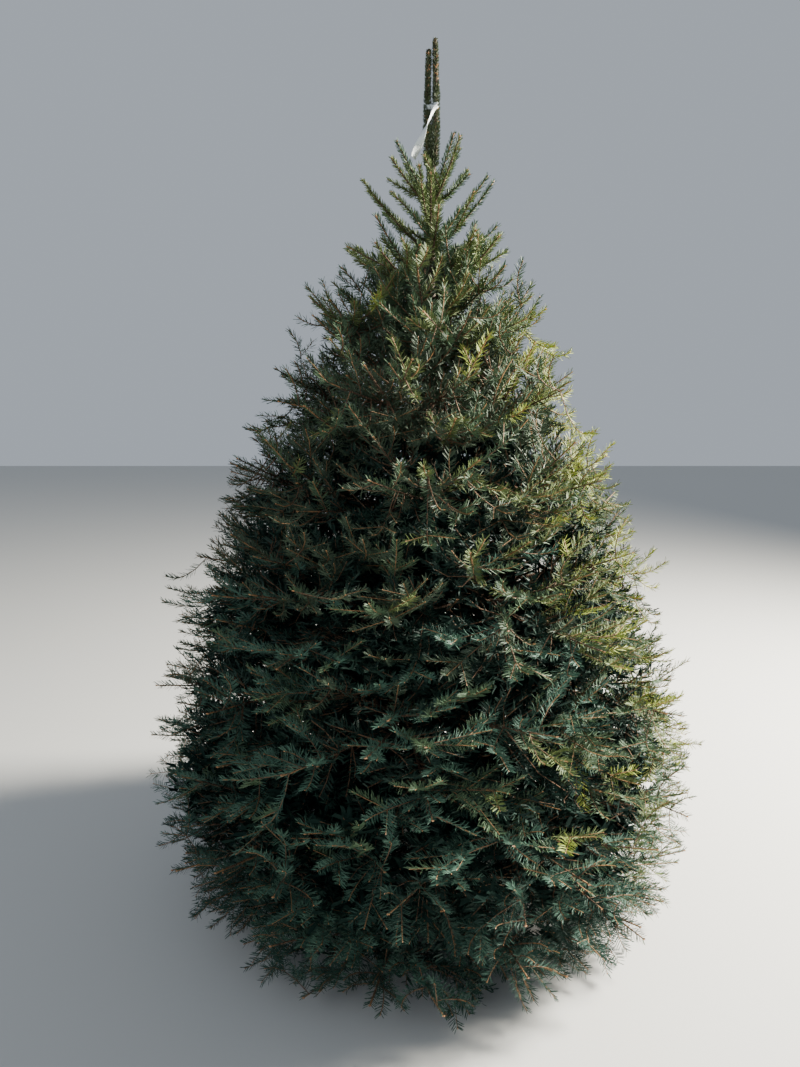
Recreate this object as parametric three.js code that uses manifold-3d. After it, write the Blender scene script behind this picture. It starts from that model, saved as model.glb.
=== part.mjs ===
// A young field-grown spruce, 2.7 m tall, with a full conical crown and a forked leader.
// Millimetres, +Z up. The origin is the middle of the flat cut under the trunk, at ground level.
// The trunk runs whole from the ground to its fork. Boughs leave it in whorls, the oldest lowest.
// Each bough carries one mass of foliage: a stem whose twigs end in flat toothed sprays of
// needles. A mass keeps to its own sector and height band, so that no two masses touch.
import * as THREE from "three";
import { mergeVertices } from "three/addons/utils/BufferGeometryUtils.js";
import Module from "manifold-3d";

const wasm = await Module();
wasm.setup();

// Trunk
const FORK_HEIGHT = 2330;
const TRUNK_RADIUS = 43;
const TRUNK_TOP_RADIUS = 13.5;
const TRUNK_TAPER = 0.95;
const TRUNK_LEAN = 5;
const TRUNK_RINGS = 12;
const TRUNK_SIDES = 12;
const RING_CROWDING = 1.5;
const CUTTER_SINK = 5;
const ROOT_FLARE = 19;
const ROOT_FLARE_HEIGHT = 75;
const ROOT_LOBES = 5;
const ROOT_LOBE_DEPTH = 0.14;

// Outline of the crown
const CROWN_RADIUS = 905;
const WIDEST_HEIGHT = 450;
const CROWN_TOP = 2530;
const CROWN_TAPER = 1.5;
const SKIRT_CURVE = 900;
const CROWN_LOPSIDE = 0.05;
const LOPSIDE_HEIGHT = 2400;
const LOWEST_FOLIAGE = 24;

// Whorls of boughs, from the oldest to the youngest
const WHORL_HEIGHTS = [205, 470, 745, 1020, 1280, 1520, 1735, 1925, 2085, 2225];
const WHORL_BOUGHS = [5, 5, 5, 5, 5, 4, 4, 4, 4, 4];
const TOP_WHORL = WHORL_HEIGHTS.length - 1;
const FIRST_WHORL_TURN = -28;
const WHORL_TURN = 37;
const LOWEST_ANGLE = -6;
const HIGHEST_ANGLE = 45;
const ANGLE_CURVE = 1.7;
const BOUGH_SWEEP = 11;
const BARE_WHORLS = 2;
const BARE_SHARE = 0.4;
const BOUGH_FROM = 0.01;
const BOUGH_RADIUS = 12.5;
const BOUGH_END_RADIUS = 8.5;
const LONGEST_RUN = 1.05;
const RUN_STEP = 2;

// How far a bough may stray from its whorl's turn, height, angle and run
const TURN_SWAY = 5;
const HEIGHT_SWAY = 12;
const OPEN_HEIGHT_SWAY = 1.8;
const ANGLE_SWAY = 2;
const OPEN_ANGLE_SWAY = 3.5;
const SHORTEST_RUN = 0.95;

// Foliage: whorls below the first open one are dense round a core, those above are open shoots
const FIRST_OPEN_WHORL = 6;
const HIGHEST_HANGING_WHORL = 3;
const SPACE_MARGIN = 5;
const OPEN_OVERREACH = 30;
const JOINT_GAP = 0.3;
const STEM_FROM = 0.02;
const STEM_TO = 0.52;
const OPEN_STEM_TO = 0.66;
const TOP_STEM_RADIUS = 4;
const STEM_TAPER = 0.5;

// The core of a dense mass
const CORE_FROM = 0.2;
const CORE_TO = 0.74;
const CORE_SPREAD = 0.84;
const CORE_DEPTH = 0.88;
const CORE_FULLNESS = 0.7;
const CORE_LUMP = 0.84;
const CORE_CLEARANCE = 0.03;

// Rows of twigs along a mass's stem: the hand they grow to, how many, the shares of the stem
// they start from, and their angles in degrees
const DENSE_ROWS = [
  { hand: 1, twigs: 2, from: 0.36, to: 0.58, wide: 50, narrow: 25, rise: -5, roll: 52 },
  { hand: -1, twigs: 2, from: 0.38, to: 0.6, wide: 50, narrow: 25, rise: 8, roll: -46 },
  { hand: 1, twigs: 1, from: 0.48, to: 0.48, wide: 30, narrow: 30, rise: 21, roll: -12 },
];
const HANGING_ROW = { hand: -1, twigs: 1, from: 0.48, to: 0.48, wide: 20, narrow: 20, rise: -18, roll: 25 };
const OPEN_ROWS = [
  { hand: 1, twigs: 1, from: 0.4, to: 0.4, wide: 48, narrow: 48, rise: 4, roll: 20 },
  { hand: -1, twigs: 1, from: 0.5, to: 0.5, wide: 46, narrow: 46, rise: 4, roll: -30 },
  { hand: 1, twigs: 1, from: 0.62, to: 0.62, wide: 44, narrow: 44, rise: 4, roll: 60 },
];
const TWIG_REACH = 0.78;
const OPEN_TWIG_REACH = 0.6;
const TWIG_CLEARANCE = 0.06;
const TWIG_SHARE_SWAY = 0.02;
const TWIG_SPREAD_SWAY = 5;
const TWIG_RISE_SWAY = 4;
const TWIG_ROLL_SWAY = 16;
const TWIG_LENGTH_SWAY = 0.15;
const SHORTEST_TWIG = 0.25;
const SHORTENING = 0.94;
const FIT_STATIONS = [0.55, 0.8, 1];

// Sprays: shares of the spray's length and of its half width
const SPRAY_LIFT = 0.07;
const SPRAY_WIDTH = 0.24;
const OPEN_SPRAY_WIDTH = 0.17;
const TIP_SPRAY_WIDTH = 0.2;
const TIP_SPRAY_FROM = 0.62;
const WIDEST_SPRAY = 88;
const SPRAY_DEPTH = 0.035;
const THINNEST_SPRAY = 4;
const SPRAY_TEETH = 3;
const OPEN_SPRAY_TEETH = 2;
const RIB_START = 0.45;
const RIB_END = 0.25;
const RIB_FALL = 0.6;
const TOOTH_START = 0.95;
const TOOTH_END = 0.35;
const TOOTH_STAGGER = 0.06;
const WIDEST_SHARE = 0.42;
const WIDTH_FALL = 0.62;
const NARROWEST_SQUARE = 0.1;
const NOTCH_BACK = 0.02;
const NOTCH_WIDTH = 0.42;

// Leaders
const LEADER_TIPS = [2677, 2710];
const LEADER_SPREAD = 14.5;
const LEADER_PARTING = [12, 60];
const LEADER_STRAIGHT_TO = 0.62;
const LEADER_CLOSING = 0.75;
const LEADER_TIP_OFFSET = 3;
const LEADER_RADIUS = 6;
const LEADER_TIP_RADIUS = 3;
const LEADER_STEM_TO = 0.985;
const LEADER_SPRAY_FROM = 0.5;
const LEADER_SPRAY_SHARE = 0.3;
const LEADER_SPRAY_WIDTH = 17;
const LEADER_SPRAY_DEPTH = 5;
const LEADER_SPRAY_TEETH = 4;
const LEADER_SPRAY_ROLL = 50;
const BUD_RADIUS = 5.2;
const BUD_LENGTH = 11;
const BUD_TILT = 0.5;
const BUD_OFFSET = 3.5;
const BUDS = [
  { share: 0.985, hand: 0, size: 1 },
  { share: 0.955, hand: 1, size: 0.7 },
  { share: 0.94, hand: -1, size: 0.7 },
];

// The strip of white tape tied round both leaders
const TAPE_HEIGHT = 2512;
const TAPE_WIDTH = 14;
const TAPE_THICKNESS = 1.2;
const TAPE_LOOP_RADIUS = 4.6;
const TAPE_CUT_MARGIN = 2;
const KNOT_RADIUS = 10;
const KNOT_ASIDE = 11;
const KNOT_FORWARD = -8;
const TAIL_LENGTH = 150;
const TAIL_SIDES = 8;
const TAIL_TWIST = [10, 250];
const TAIL_WIDTHS = [9, 34];
const TAIL_ASIDE = 12;
const TAIL_FORWARD = -9;
const TAIL_SWING = 68;
const TAIL_BELLY = 16;

// Materials
const TRUNK_BARK = { color: new THREE.Color(0.2, 0.13, 0.09), roughness: 0.9 };
const BOUGH_BARK = { color: new THREE.Color(0.36, 0.2, 0.1), roughness: 0.85 };
const LEADER_BARK = { color: new THREE.Color(0.36, 0.2, 0.1), roughness: 0.75 };
const NEEDLES = { color: new THREE.Color(0.06, 0.13, 0.06), roughness: 0.8 };
const TAPE_FILM = { color: new THREE.Color(0.82, 0.84, 0.84), roughness: 0.45 };

const degrees = THREE.MathUtils.degToRad;
const mix = THREE.MathUtils.lerp;
const UP = new THREE.Vector3(0, 0, 1);

// A repeatable stream of numbers from 0 to 1, so that each limb always grows the same way.
function seededStream(seed) {
  let state = (seed * 7919 + 12345) >>> 0;
  return () => {
    state = (Math.imul(state, 1664525) + 1013904223) >>> 0;
    return state / 4294967296;
  };
}

// A drawn number that strays from nought by up to the limit given.
function sway(limit, draw) {
  return mix(-limit, limit, draw());
}

// The crown's outer radius at a height: a rounded skirt below its widest, a cone above.
function crownRadius(z) {
  if (z < WIDEST_HEIGHT) {
    const drop = Math.min(1, (WIDEST_HEIGHT - z) / SKIRT_CURVE);
    return CROWN_RADIUS * Math.sqrt(1 - drop * drop);
  }
  const climb = Math.min(1, (z - WIDEST_HEIGHT) / (CROWN_TOP - WIDEST_HEIGHT));
  return CROWN_RADIUS * (1 - Math.pow(climb, CROWN_TAPER));
}

// The crown is a little fuller towards -X at half its height.
function lopside(z, azimuth) {
  const share = Math.min(1, Math.max(0, z / LOPSIDE_HEIGHT));
  return 1 - CROWN_LOPSIDE * Math.cos(azimuth) * Math.sin(Math.PI * share);
}

// The trunk's radius at a height: nearly straight taper, flared at the foot.
function trunkRadius(z) {
  const share = Math.pow(Math.max(0, z) / FORK_HEIGHT, TRUNK_TAPER);
  return mix(TRUNK_RADIUS, TRUNK_TOP_RADIUS, share) + ROOT_FLARE * Math.exp(-z / ROOT_FLARE_HEIGHT);
}

// The trunk's axis leans very slightly towards +X near its top.
function trunkAxis(z) {
  const share = z / FORK_HEIGHT;
  return TRUNK_LEAN * share * share;
}

// A closed geometry as a solid that can be joined and cut. Collapsed facets are left out.
function solidOf(geometry) {
  const bare = geometry.clone();
  bare.deleteAttribute("normal");
  bare.deleteAttribute("uv");
  const merged = mergeVertices(bare, 1e-3);
  const corners = merged.index.array;
  const facets = [];
  for (let i = 0; i < corners.length; i += 3) {
    const [a, b, c] = [corners[i], corners[i + 1], corners[i + 2]];
    if (a !== b && b !== c && c !== a) facets.push(a, b, c);
  }
  return new wasm.Manifold(
    new wasm.Mesh({
      numProp: 3,
      vertProperties: new Float32Array(merged.attributes.position.array),
      triVerts: new Uint32Array(facets),
    }),
  );
}

// The largest piece of a joined solid, so that a loose scrap is dropped.
function mainPiece(solid) {
  const pieces = solid.decompose();
  return pieces.reduce((best, piece) => (piece.volume() > best.volume() ? piece : best));
}

// A named mesh of a solid, in its own material.
function meshOf(name, solid, look) {
  const data = mainPiece(solid).getMesh();
  const geometry = new THREE.BufferGeometry();
  geometry.setAttribute("position", new THREE.BufferAttribute(new Float32Array(data.vertProperties), 3));
  geometry.setIndex(new THREE.BufferAttribute(new Uint32Array(data.triVerts), 1));
  geometry.computeVertexNormals();
  const material = new THREE.MeshStandardMaterial({ ...look, metalness: 0 });
  const mesh = new THREE.Mesh(geometry, material);
  mesh.name = name;
  return mesh;
}

// Moves every vertex of a geometry with the function given.
function reshape(geometry, place) {
  const position = geometry.attributes.position;
  const vertex = new THREE.Vector3();
  for (let i = 0; i < position.count; i += 1) {
    vertex.fromBufferAttribute(position, i);
    place(vertex);
    position.setXYZ(i, vertex.x, vertex.y, vertex.z);
  }
  return geometry;
}

// Sideways and over-the-top directions for something that points forward.
function frameOf(forward, roll = 0) {
  const level = Math.abs(forward.z) > 0.995 ? new THREE.Vector3(0, 1, 0) : UP;
  const side = new THREE.Vector3().crossVectors(forward, level).normalize();
  side.applyAxisAngle(forward, roll);
  const over = new THREE.Vector3().crossVectors(side, forward).normalize();
  return { side, over };
}

// A limb that tapers along a curve, from one share of the curve to another, with flat ends.
function limb(curve, from, to, baseRadius, tipRadius, sides, steps) {
  const tube = new THREE.CylinderGeometry(1, 1, 1, sides, steps);
  reshape(tube, (vertex) => {
    const along = vertex.y + 0.5;
    const share = mix(from, to, along);
    const { side, over } = frameOf(curve.getTangent(share));
    const radius = mix(baseRadius, tipRadius, along);
    const across = vertex.x * radius;
    const above = vertex.z * radius;
    vertex.copy(curve.getPoint(share)).addScaledVector(side, across).addScaledVector(over, above);
  });
  return solidOf(tube);
}

// A flat spray: a blade with a raised midrib above and below, and forward-pointing teeth at both
// edges. Its root is a point sunk in the limb that bears it, and its tip lifts as it goes out.
function spray(root, forward, roll, length, halfWidth, rise, teeth, lift) {
  const { side, over } = frameOf(forward, roll);
  const corners = [];
  const corner = (along, across, above) => {
    const point = root.clone().addScaledVector(forward, along * length);
    point.addScaledVector(side, across * halfWidth);
    point.addScaledVector(over, above * rise + lift * along * along);
    corners.push(point.x, point.y, point.z);
    return corners.length / 3 - 1;
  };
  const base = corner(0, 0, 0);
  const tip = corner(1, 0, 0);
  const facets = [];
  const ribs = { up: [], down: [] };
  for (let i = 0; i < teeth; i += 1) {
    const along = (i + RIB_START) / (teeth + RIB_END);
    ribs.up.push(corner(along, 0, 1 - RIB_FALL * along));
    ribs.down.push(corner(along, 0, -1 + RIB_FALL * along));
  }
  for (const hand of [1, -1]) {
    const points = [];
    const notches = [];
    for (let i = 0; i < teeth; i += 1) {
      const out = (i + TOOTH_START + TOOTH_STAGGER * hand) / (teeth + TOOTH_END);
      const fall = Math.pow(Math.abs(out - WIDEST_SHARE) / WIDTH_FALL, 2);
      const width = Math.sqrt(Math.max(NARROWEST_SQUARE, 1 - fall));
      points.push(corner(out, hand * width, 0));
      if (i < teeth - 1) notches.push(corner(out - NOTCH_BACK, hand * width * NOTCH_WIDTH, 0));
    }
    for (const face of [1, -1]) {
      const rib = face > 0 ? ribs.up : ribs.down;
      const add = (a, b, c) => (hand * face > 0 ? facets.push(a, b, c) : facets.push(a, c, b));
      add(base, points[0], rib[0]);
      for (let i = 0; i < teeth - 1; i += 1) {
        add(points[i], notches[i], rib[i]);
        add(notches[i], rib[i + 1], rib[i]);
        add(notches[i], points[i + 1], rib[i + 1]);
      }
      add(points[teeth - 1], tip, rib[teeth - 1]);
    }
  }
  const geometry = new THREE.BufferGeometry();
  geometry.setAttribute("position", new THREE.BufferAttribute(new Float32Array(corners), 3));
  geometry.setIndex(facets);
  return solidOf(geometry);
}

// Trunk: a turned taper with a lobed root flare and a flat cut at each end. With a gap it is the
// cutter that keeps other solids clear of the trunk, and reaches below the ground.
function trunkSolid(gap) {
  const foot = gap > 0 ? -CUTTER_SINK : 0;
  const profile = [new THREE.Vector2(0, foot)];
  for (let ring = 0; ring <= TRUNK_RINGS; ring += 1) {
    const height = FORK_HEIGHT * Math.pow(ring / TRUNK_RINGS, RING_CROWDING);
    profile.push(new THREE.Vector2(trunkRadius(height) + gap, ring === 0 ? foot : height));
  }
  profile.push(new THREE.Vector2(0, FORK_HEIGHT));
  const turned = new THREE.LatheGeometry(profile, TRUNK_SIDES);
  turned.rotateX(Math.PI / 2);
  reshape(turned, (vertex) => {
    const turn = Math.atan2(vertex.y, vertex.x);
    const flare = Math.exp(-Math.max(0, vertex.z) / ROOT_FLARE_HEIGHT);
    const lobe = 1 + ROOT_LOBE_DEPTH * Math.cos(ROOT_LOBES * turn) * flare;
    vertex.x = vertex.x * lobe + trunkAxis(vertex.z);
    vertex.y *= lobe;
  });
  return solidOf(turned);
}

// The angle above level at which the boughs of a height leave the trunk, on average.
function boughAngle(height) {
  const share = Math.pow(height / WHORL_HEIGHTS[TOP_WHORL], ANGLE_CURVE);
  return mix(LOWEST_ANGLE, HIGHEST_ANGLE, share);
}

// How far out a whorl's boughs reach: stepped inward along their rise to the crown's outline.
function boughRun(height) {
  const rise = Math.tan(degrees(boughAngle(height)));
  let run = CROWN_RADIUS * LONGEST_RUN;
  while (run > crownRadius(height + run * rise)) run -= RUN_STEP;
  return run;
}

// The height of a whorl's nominal bough at a distance from the trunk: a curve that sweeps upward.
function boughHeight(whorl, distance) {
  const height = WHORL_HEIGHTS[whorl];
  const angle = boughAngle(height);
  const startSlope = Math.tan(degrees(angle - BOUGH_SWEEP));
  const endSlope = Math.tan(degrees(angle + BOUGH_SWEEP));
  const bend = (endSlope - startSlope) / (2 * boughRun(height));
  return height + distance * startSlope + distance * distance * bend;
}

// The surface half-way between two whorls' boughs, which parts their masses.
function partingHeight(whorl, distance) {
  if (whorl < 0) return LOWEST_FOLIAGE;
  if (whorl >= TOP_WHORL) return CROWN_TOP;
  return (boughHeight(whorl, distance) + boughHeight(whorl + 1, distance)) / 2;
}

// One bough's curve, and a test of whether a point is in the space its mass keeps to.
function growBough(whorl, index) {
  const draw = seededStream(whorl * 31 + index * 7 + 5);
  const open = whorl >= FIRST_OPEN_WHORL;
  const count = WHORL_BOUGHS[whorl];
  const middle = degrees(FIRST_WHORL_TURN + whorl * WHORL_TURN + (index * 360) / count);
  const azimuth = middle + degrees(sway(TURN_SWAY, draw));
  const height = WHORL_HEIGHTS[whorl] + sway(HEIGHT_SWAY, draw) * (open ? OPEN_HEIGHT_SWAY : 1);
  const angle = boughAngle(WHORL_HEIGHTS[whorl]) + sway(ANGLE_SWAY, draw) * (open ? OPEN_ANGLE_SWAY : 1);
  const nominal = boughRun(WHORL_HEIGHTS[whorl]) * mix(SHORTEST_RUN, 1, draw());
  const run = nominal * lopside(height, azimuth);
  const outward = new THREE.Vector3(Math.cos(azimuth), Math.sin(azimuth), 0);
  const start = new THREE.Vector3(trunkAxis(height), 0, height);
  const control = start.clone().addScaledVector(outward, run / 2);
  control.z += (run / 2) * Math.tan(degrees(angle - BOUGH_SWEEP));
  const tip = control.clone().addScaledVector(outward, run / 2);
  tip.z += (run / 2) * Math.tan(degrees(angle + BOUGH_SWEEP));
  const curve = new THREE.QuadraticBezierCurve3(start, control, tip);
  const halfSector = degrees(180 / count);
  const holds = (point) => {
    const distance = Math.hypot(point.x, point.y);
    const turn = Math.atan2(point.y, point.x);
    const swing = Math.abs(Math.atan2(Math.sin(turn - middle), Math.cos(turn - middle)));
    if (distance < trunkRadius(point.z) + SPACE_MARGIN) return false;
    if (swing > halfSector || distance * Math.sin(halfSector - swing) < SPACE_MARGIN) return false;
    if (point.z < partingHeight(whorl - 1, distance) + SPACE_MARGIN) return false;
    if (point.z > partingHeight(whorl, distance) - SPACE_MARGIN) return false;
    return distance < crownRadius(point.z) * lopside(point.z, turn) + (open ? OPEN_OVERREACH : 0);
  };
  return { whorl, open, curve, run, middle, halfSector, holds, draw };
}

// The dense heart of a mass: a lumpy lens that follows the bough through its sector.
function coreSolid(bough) {
  const { whorl, middle, halfSector, run, draw } = bough;
  const nominal = boughRun(WHORL_HEIGHTS[whorl]);
  const from = whorl < BARE_WHORLS ? BARE_SHARE + CORE_CLEARANCE : CORE_FROM;
  const lens = new THREE.OctahedronGeometry(1, 1);
  lens.deleteAttribute("uv");
  lens.deleteAttribute("normal");
  const ball = mergeVertices(lens);
  const fill = (part) => Math.sign(part) * Math.pow(Math.abs(part), CORE_FULLNESS);
  reshape(ball, (vertex) => {
    const lump = mix(CORE_LUMP, 1, draw());
    const distance = mix(from, CORE_TO, (fill(vertex.x) + 1) / 2) * nominal;
    const turn = middle + fill(vertex.y) * lump * halfSector * CORE_SPREAD;
    const low = partingHeight(whorl - 1, distance);
    const high = partingHeight(whorl, distance);
    const half = ((high - low) / 2) * CORE_DEPTH;
    const radius = (distance * run) / nominal;
    const z = (low + high) / 2 + fill(vertex.z) * lump * half;
    vertex.set(Math.cos(turn) * radius, Math.sin(turn) * radius, z);
  });
  return solidOf(ball);
}

// Whether a twig's spray lies in the space its mass keeps to.
function sprayFits(twig, holds) {
  const { side, over } = frameOf(twig.forward, twig.roll);
  return FIT_STATIONS.every((station) => {
    const middle = twig.root.clone().addScaledVector(twig.forward, twig.length * station);
    middle.addScaledVector(over, twig.length * SPRAY_LIFT * station * station);
    const reach = station < 1 ? Math.min(twig.length * twig.width, WIDEST_SPRAY) : 0;
    const left = middle.clone().addScaledVector(side, reach);
    const right = middle.clone().addScaledVector(side, -reach);
    return holds(left) && holds(right);
  });
}

// The twigs of a mass. Each leaves the stem at a share of its curve and ends in a spray.
// A twig is shortened until its spray lies in the mass's space, and skipped if it gets too short.
function growTwigs(bough, rows, longest) {
  const { whorl, curve, draw, holds, open } = bough;
  const firstShare = whorl < BARE_WHORLS ? BARE_SHARE + TWIG_CLEARANCE : 0;
  const shortest = longest * SHORTEST_TWIG;
  const twigs = [];
  for (const row of rows) {
    for (let station = 0; station < row.twigs; station += 1) {
      const step = row.twigs > 1 ? station / (row.twigs - 1) : 0;
      const share = Math.max(firstShare, mix(row.from, row.to, step) + sway(TWIG_SHARE_SWAY, draw));
      const root = curve.getPoint(share);
      const ahead = curve.getTangent(share);
      const { side, over } = frameOf(ahead);
      const spread = degrees(mix(row.wide, row.narrow, step) + sway(TWIG_SPREAD_SWAY, draw));
      const rise = degrees(row.rise + sway(TWIG_RISE_SWAY, draw));
      const forward = ahead.clone().multiplyScalar(Math.cos(spread) * Math.cos(rise));
      forward.addScaledVector(side, Math.sin(spread) * Math.cos(rise) * row.hand);
      forward.addScaledVector(over, Math.sin(rise)).normalize();
      const roll = degrees(row.roll + sway(TWIG_ROLL_SWAY, draw));
      const length = longest * (1 + sway(TWIG_LENGTH_SWAY, draw));
      const twig = { root, forward, roll, length, width: open ? OPEN_SPRAY_WIDTH : SPRAY_WIDTH };
      while (twig.length > shortest && !sprayFits(twig, holds)) twig.length *= SHORTENING;
      twig.lift = twig.length * SPRAY_LIFT;
      if (twig.length > shortest) twigs.push(twig);
    }
  }
  return twigs;
}

// The last twig of a mass: the stem's own growth, straight on to the bough's tip.
function tipTwig(curve) {
  const root = curve.getPoint(TIP_SPRAY_FROM);
  const onward = curve.getPoint(1).sub(root);
  const length = onward.length();
  return { root, forward: onward.normalize(), roll: 0, length, width: TIP_SPRAY_WIDTH, lift: 0 };
}

// One mass of foliage, made of a stem, its twigs and sprays, and in a dense mass its core.
function massSolid(bough, trunkClear) {
  const { curve, open, whorl, run } = bough;
  const from = whorl < BARE_WHORLS ? BARE_SHARE + JOINT_GAP / curve.getLength() : STEM_FROM;
  const to = open ? OPEN_STEM_TO : STEM_TO;
  const thick = mix(BOUGH_END_RADIUS, TOP_STEM_RADIUS, whorl / TOP_WHORL);
  const sides = open ? 3 : 4;
  let solid = limb(curve, from, to, thick, thick * STEM_TAPER, sides, 2);
  const hangs = whorl > 0 && whorl <= HIGHEST_HANGING_WHORL;
  const denseRows = hangs ? [...DENSE_ROWS, HANGING_ROW] : DENSE_ROWS;
  const reach = run * (open ? OPEN_TWIG_REACH : TWIG_REACH);
  const sideTwigs = growTwigs(bough, open ? OPEN_ROWS : denseRows, reach);
  const last = tipTwig(curve);
  if (!open) solid = solid.add(coreSolid(bough));
  for (const twig of [...sideTwigs, last]) {
    const { root, forward, roll, length, width, lift } = twig;
    const halfWidth = Math.min(length * width, WIDEST_SPRAY);
    const rise = Math.max(THINNEST_SPRAY, length * SPRAY_DEPTH);
    const teeth = open && twig !== last ? OPEN_SPRAY_TEETH : SPRAY_TEETH;
    solid = solid.add(spray(root, forward, roll, length, halfWidth, rise, teeth, lift));
  }
  return solid.subtract(trunkClear);
}

const trunkClear = trunkSolid(JOINT_GAP);
const root = new THREE.Group();
root.add(meshOf("trunk", trunkSolid(0), TRUNK_BARK));
for (let whorl = 0; whorl < WHORL_HEIGHTS.length; whorl += 1) {
  for (let index = 0; index < WHORL_BOUGHS[whorl]; index += 1) {
    const bough = growBough(whorl, index);
    if (whorl < BARE_WHORLS) {
      const solid = limb(bough.curve, BOUGH_FROM, BARE_SHARE, BOUGH_RADIUS, BOUGH_END_RADIUS, 6, 3);
      root.add(meshOf(`bough_${whorl + 1}_${index + 1}`, solid.subtract(trunkClear), BOUGH_BARK));
    }
    const mass = massSolid(bough, trunkClear);
    root.add(meshOf(`foliage_${whorl + 1}_${index + 1}`, mass, NEEDLES));
  }
}

// Leaders: two upright shoots side by side, needled below and nearly bare above
function leaderCurve(index) {
  const hand = index === 0 ? -1 : 1;
  const axis = trunkAxis(FORK_HEIGHT);
  const foot = FORK_HEIGHT + JOINT_GAP;
  const tip = LEADER_TIPS[index];
  const base = axis + hand * (LEADER_RADIUS + 1);
  const apart = axis + hand * LEADER_SPREAD;
  return new THREE.CatmullRomCurve3([
    new THREE.Vector3(base, 0, foot),
    new THREE.Vector3(base, 0, foot + LEADER_PARTING[0]),
    new THREE.Vector3(apart, 0, foot + LEADER_PARTING[1]),
    new THREE.Vector3(apart, 0, mix(foot, tip, LEADER_STRAIGHT_TO)),
    new THREE.Vector3(axis + hand * LEADER_SPREAD * LEADER_CLOSING, index * LEADER_TIP_OFFSET, tip),
  ]);
}

function leaderStem(index, gap) {
  const thick = LEADER_RADIUS + gap;
  const thin = LEADER_TIP_RADIUS + gap;
  return limb(leaderCurve(index), 0, LEADER_STEM_TO, thick, thin, 5, 5);
}

function leaderSolid(index) {
  const curve = leaderCurve(index);
  let solid = leaderStem(index, 0);
  for (const { share, hand, size } of BUDS) {
    const seat = curve.getPoint(share);
    const bud = new THREE.OctahedronGeometry(1, 0);
    bud.scale(size * BUD_RADIUS, size * BUD_RADIUS, size * BUD_LENGTH);
    bud.rotateY(hand * BUD_TILT);
    bud.translate(seat.x + hand * BUD_OFFSET, seat.y, seat.z);
    solid = solid.add(solidOf(bud));
  }
  const seat = curve.getPoint(LEADER_SPRAY_FROM);
  const length = (LEADER_TIPS[index] - FORK_HEIGHT) * LEADER_SPRAY_SHARE;
  const roll = degrees(index === 0 ? -LEADER_SPRAY_ROLL : LEADER_SPRAY_ROLL);
  const brush = spray(seat, UP, roll, length, LEADER_SPRAY_WIDTH, LEADER_SPRAY_DEPTH, LEADER_SPRAY_TEETH, 0);
  return solid.add(brush);
}

// Tape: a strip tied round both leaders, with one long tail that hangs down in front
function tapeBand(radius, depth) {
  const axis = trunkAxis(FORK_HEIGHT);
  const quarter = Math.PI / 2;
  const shape = new THREE.Shape();
  shape.absarc(axis + LEADER_SPREAD, 0, radius, -quarter, quarter, false);
  shape.absarc(axis - LEADER_SPREAD, 0, radius, quarter, 3 * quarter, false);
  const band = new THREE.ExtrudeGeometry(shape, { depth, bevelEnabled: false, curveSegments: 4 });
  band.translate(0, 0, TAPE_HEIGHT - depth / 2);
  return solidOf(band);
}

// The tail twists, widens and swings aside as it hangs.
function tapeTail() {
  const tail = new THREE.BoxGeometry(1, TAPE_THICKNESS, 1, 1, 1, TAIL_SIDES);
  reshape(tail, (vertex) => {
    const along = 0.5 - vertex.z;
    const twist = degrees(mix(...TAIL_TWIST, along));
    const across = vertex.x * mix(...TAIL_WIDTHS, along * along);
    const through = vertex.y;
    const aside = TAIL_ASIDE - TAIL_SWING * along;
    const forward = TAIL_FORWARD - TAIL_BELLY * Math.sin(along * Math.PI);
    vertex.x = trunkAxis(FORK_HEIGHT) + aside + across * Math.cos(twist) - through * Math.sin(twist);
    vertex.y = -TAPE_LOOP_RADIUS + forward + across * Math.sin(twist) + through * Math.cos(twist);
    vertex.z = TAPE_HEIGHT - TAIL_LENGTH * along;
  });
  return solidOf(tail);
}

function tapeSolid() {
  const outer = tapeBand(TAPE_LOOP_RADIUS + TAPE_THICKNESS, TAPE_WIDTH);
  const inner = tapeBand(TAPE_LOOP_RADIUS, TAPE_WIDTH + 2 * TAPE_CUT_MARGIN);
  const knot = new THREE.OctahedronGeometry(KNOT_RADIUS, 0);
  knot.translate(trunkAxis(FORK_HEIGHT) + KNOT_ASIDE, -TAPE_LOOP_RADIUS + KNOT_FORWARD, TAPE_HEIGHT);
  const tied = outer.subtract(inner).add(solidOf(knot)).add(tapeTail());
  return tied.subtract(leaderStem(0, JOINT_GAP)).subtract(leaderStem(1, JOINT_GAP));
}

root.add(meshOf("leader_left", leaderSolid(0), LEADER_BARK));
root.add(meshOf("leader_right", leaderSolid(1), LEADER_BARK));
root.add(meshOf("marker_tape", tapeSolid(), TAPE_FILM));

export default root;
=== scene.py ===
# A young field-grown spruce, 2.7 m tall, standing on a pale studio floor.
# The limbs grow by the rule that shaped the solids, carried on to finer twigs, buds and needles.
import math

import bpy
import numpy as np
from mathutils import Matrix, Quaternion, Vector, noise


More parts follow.
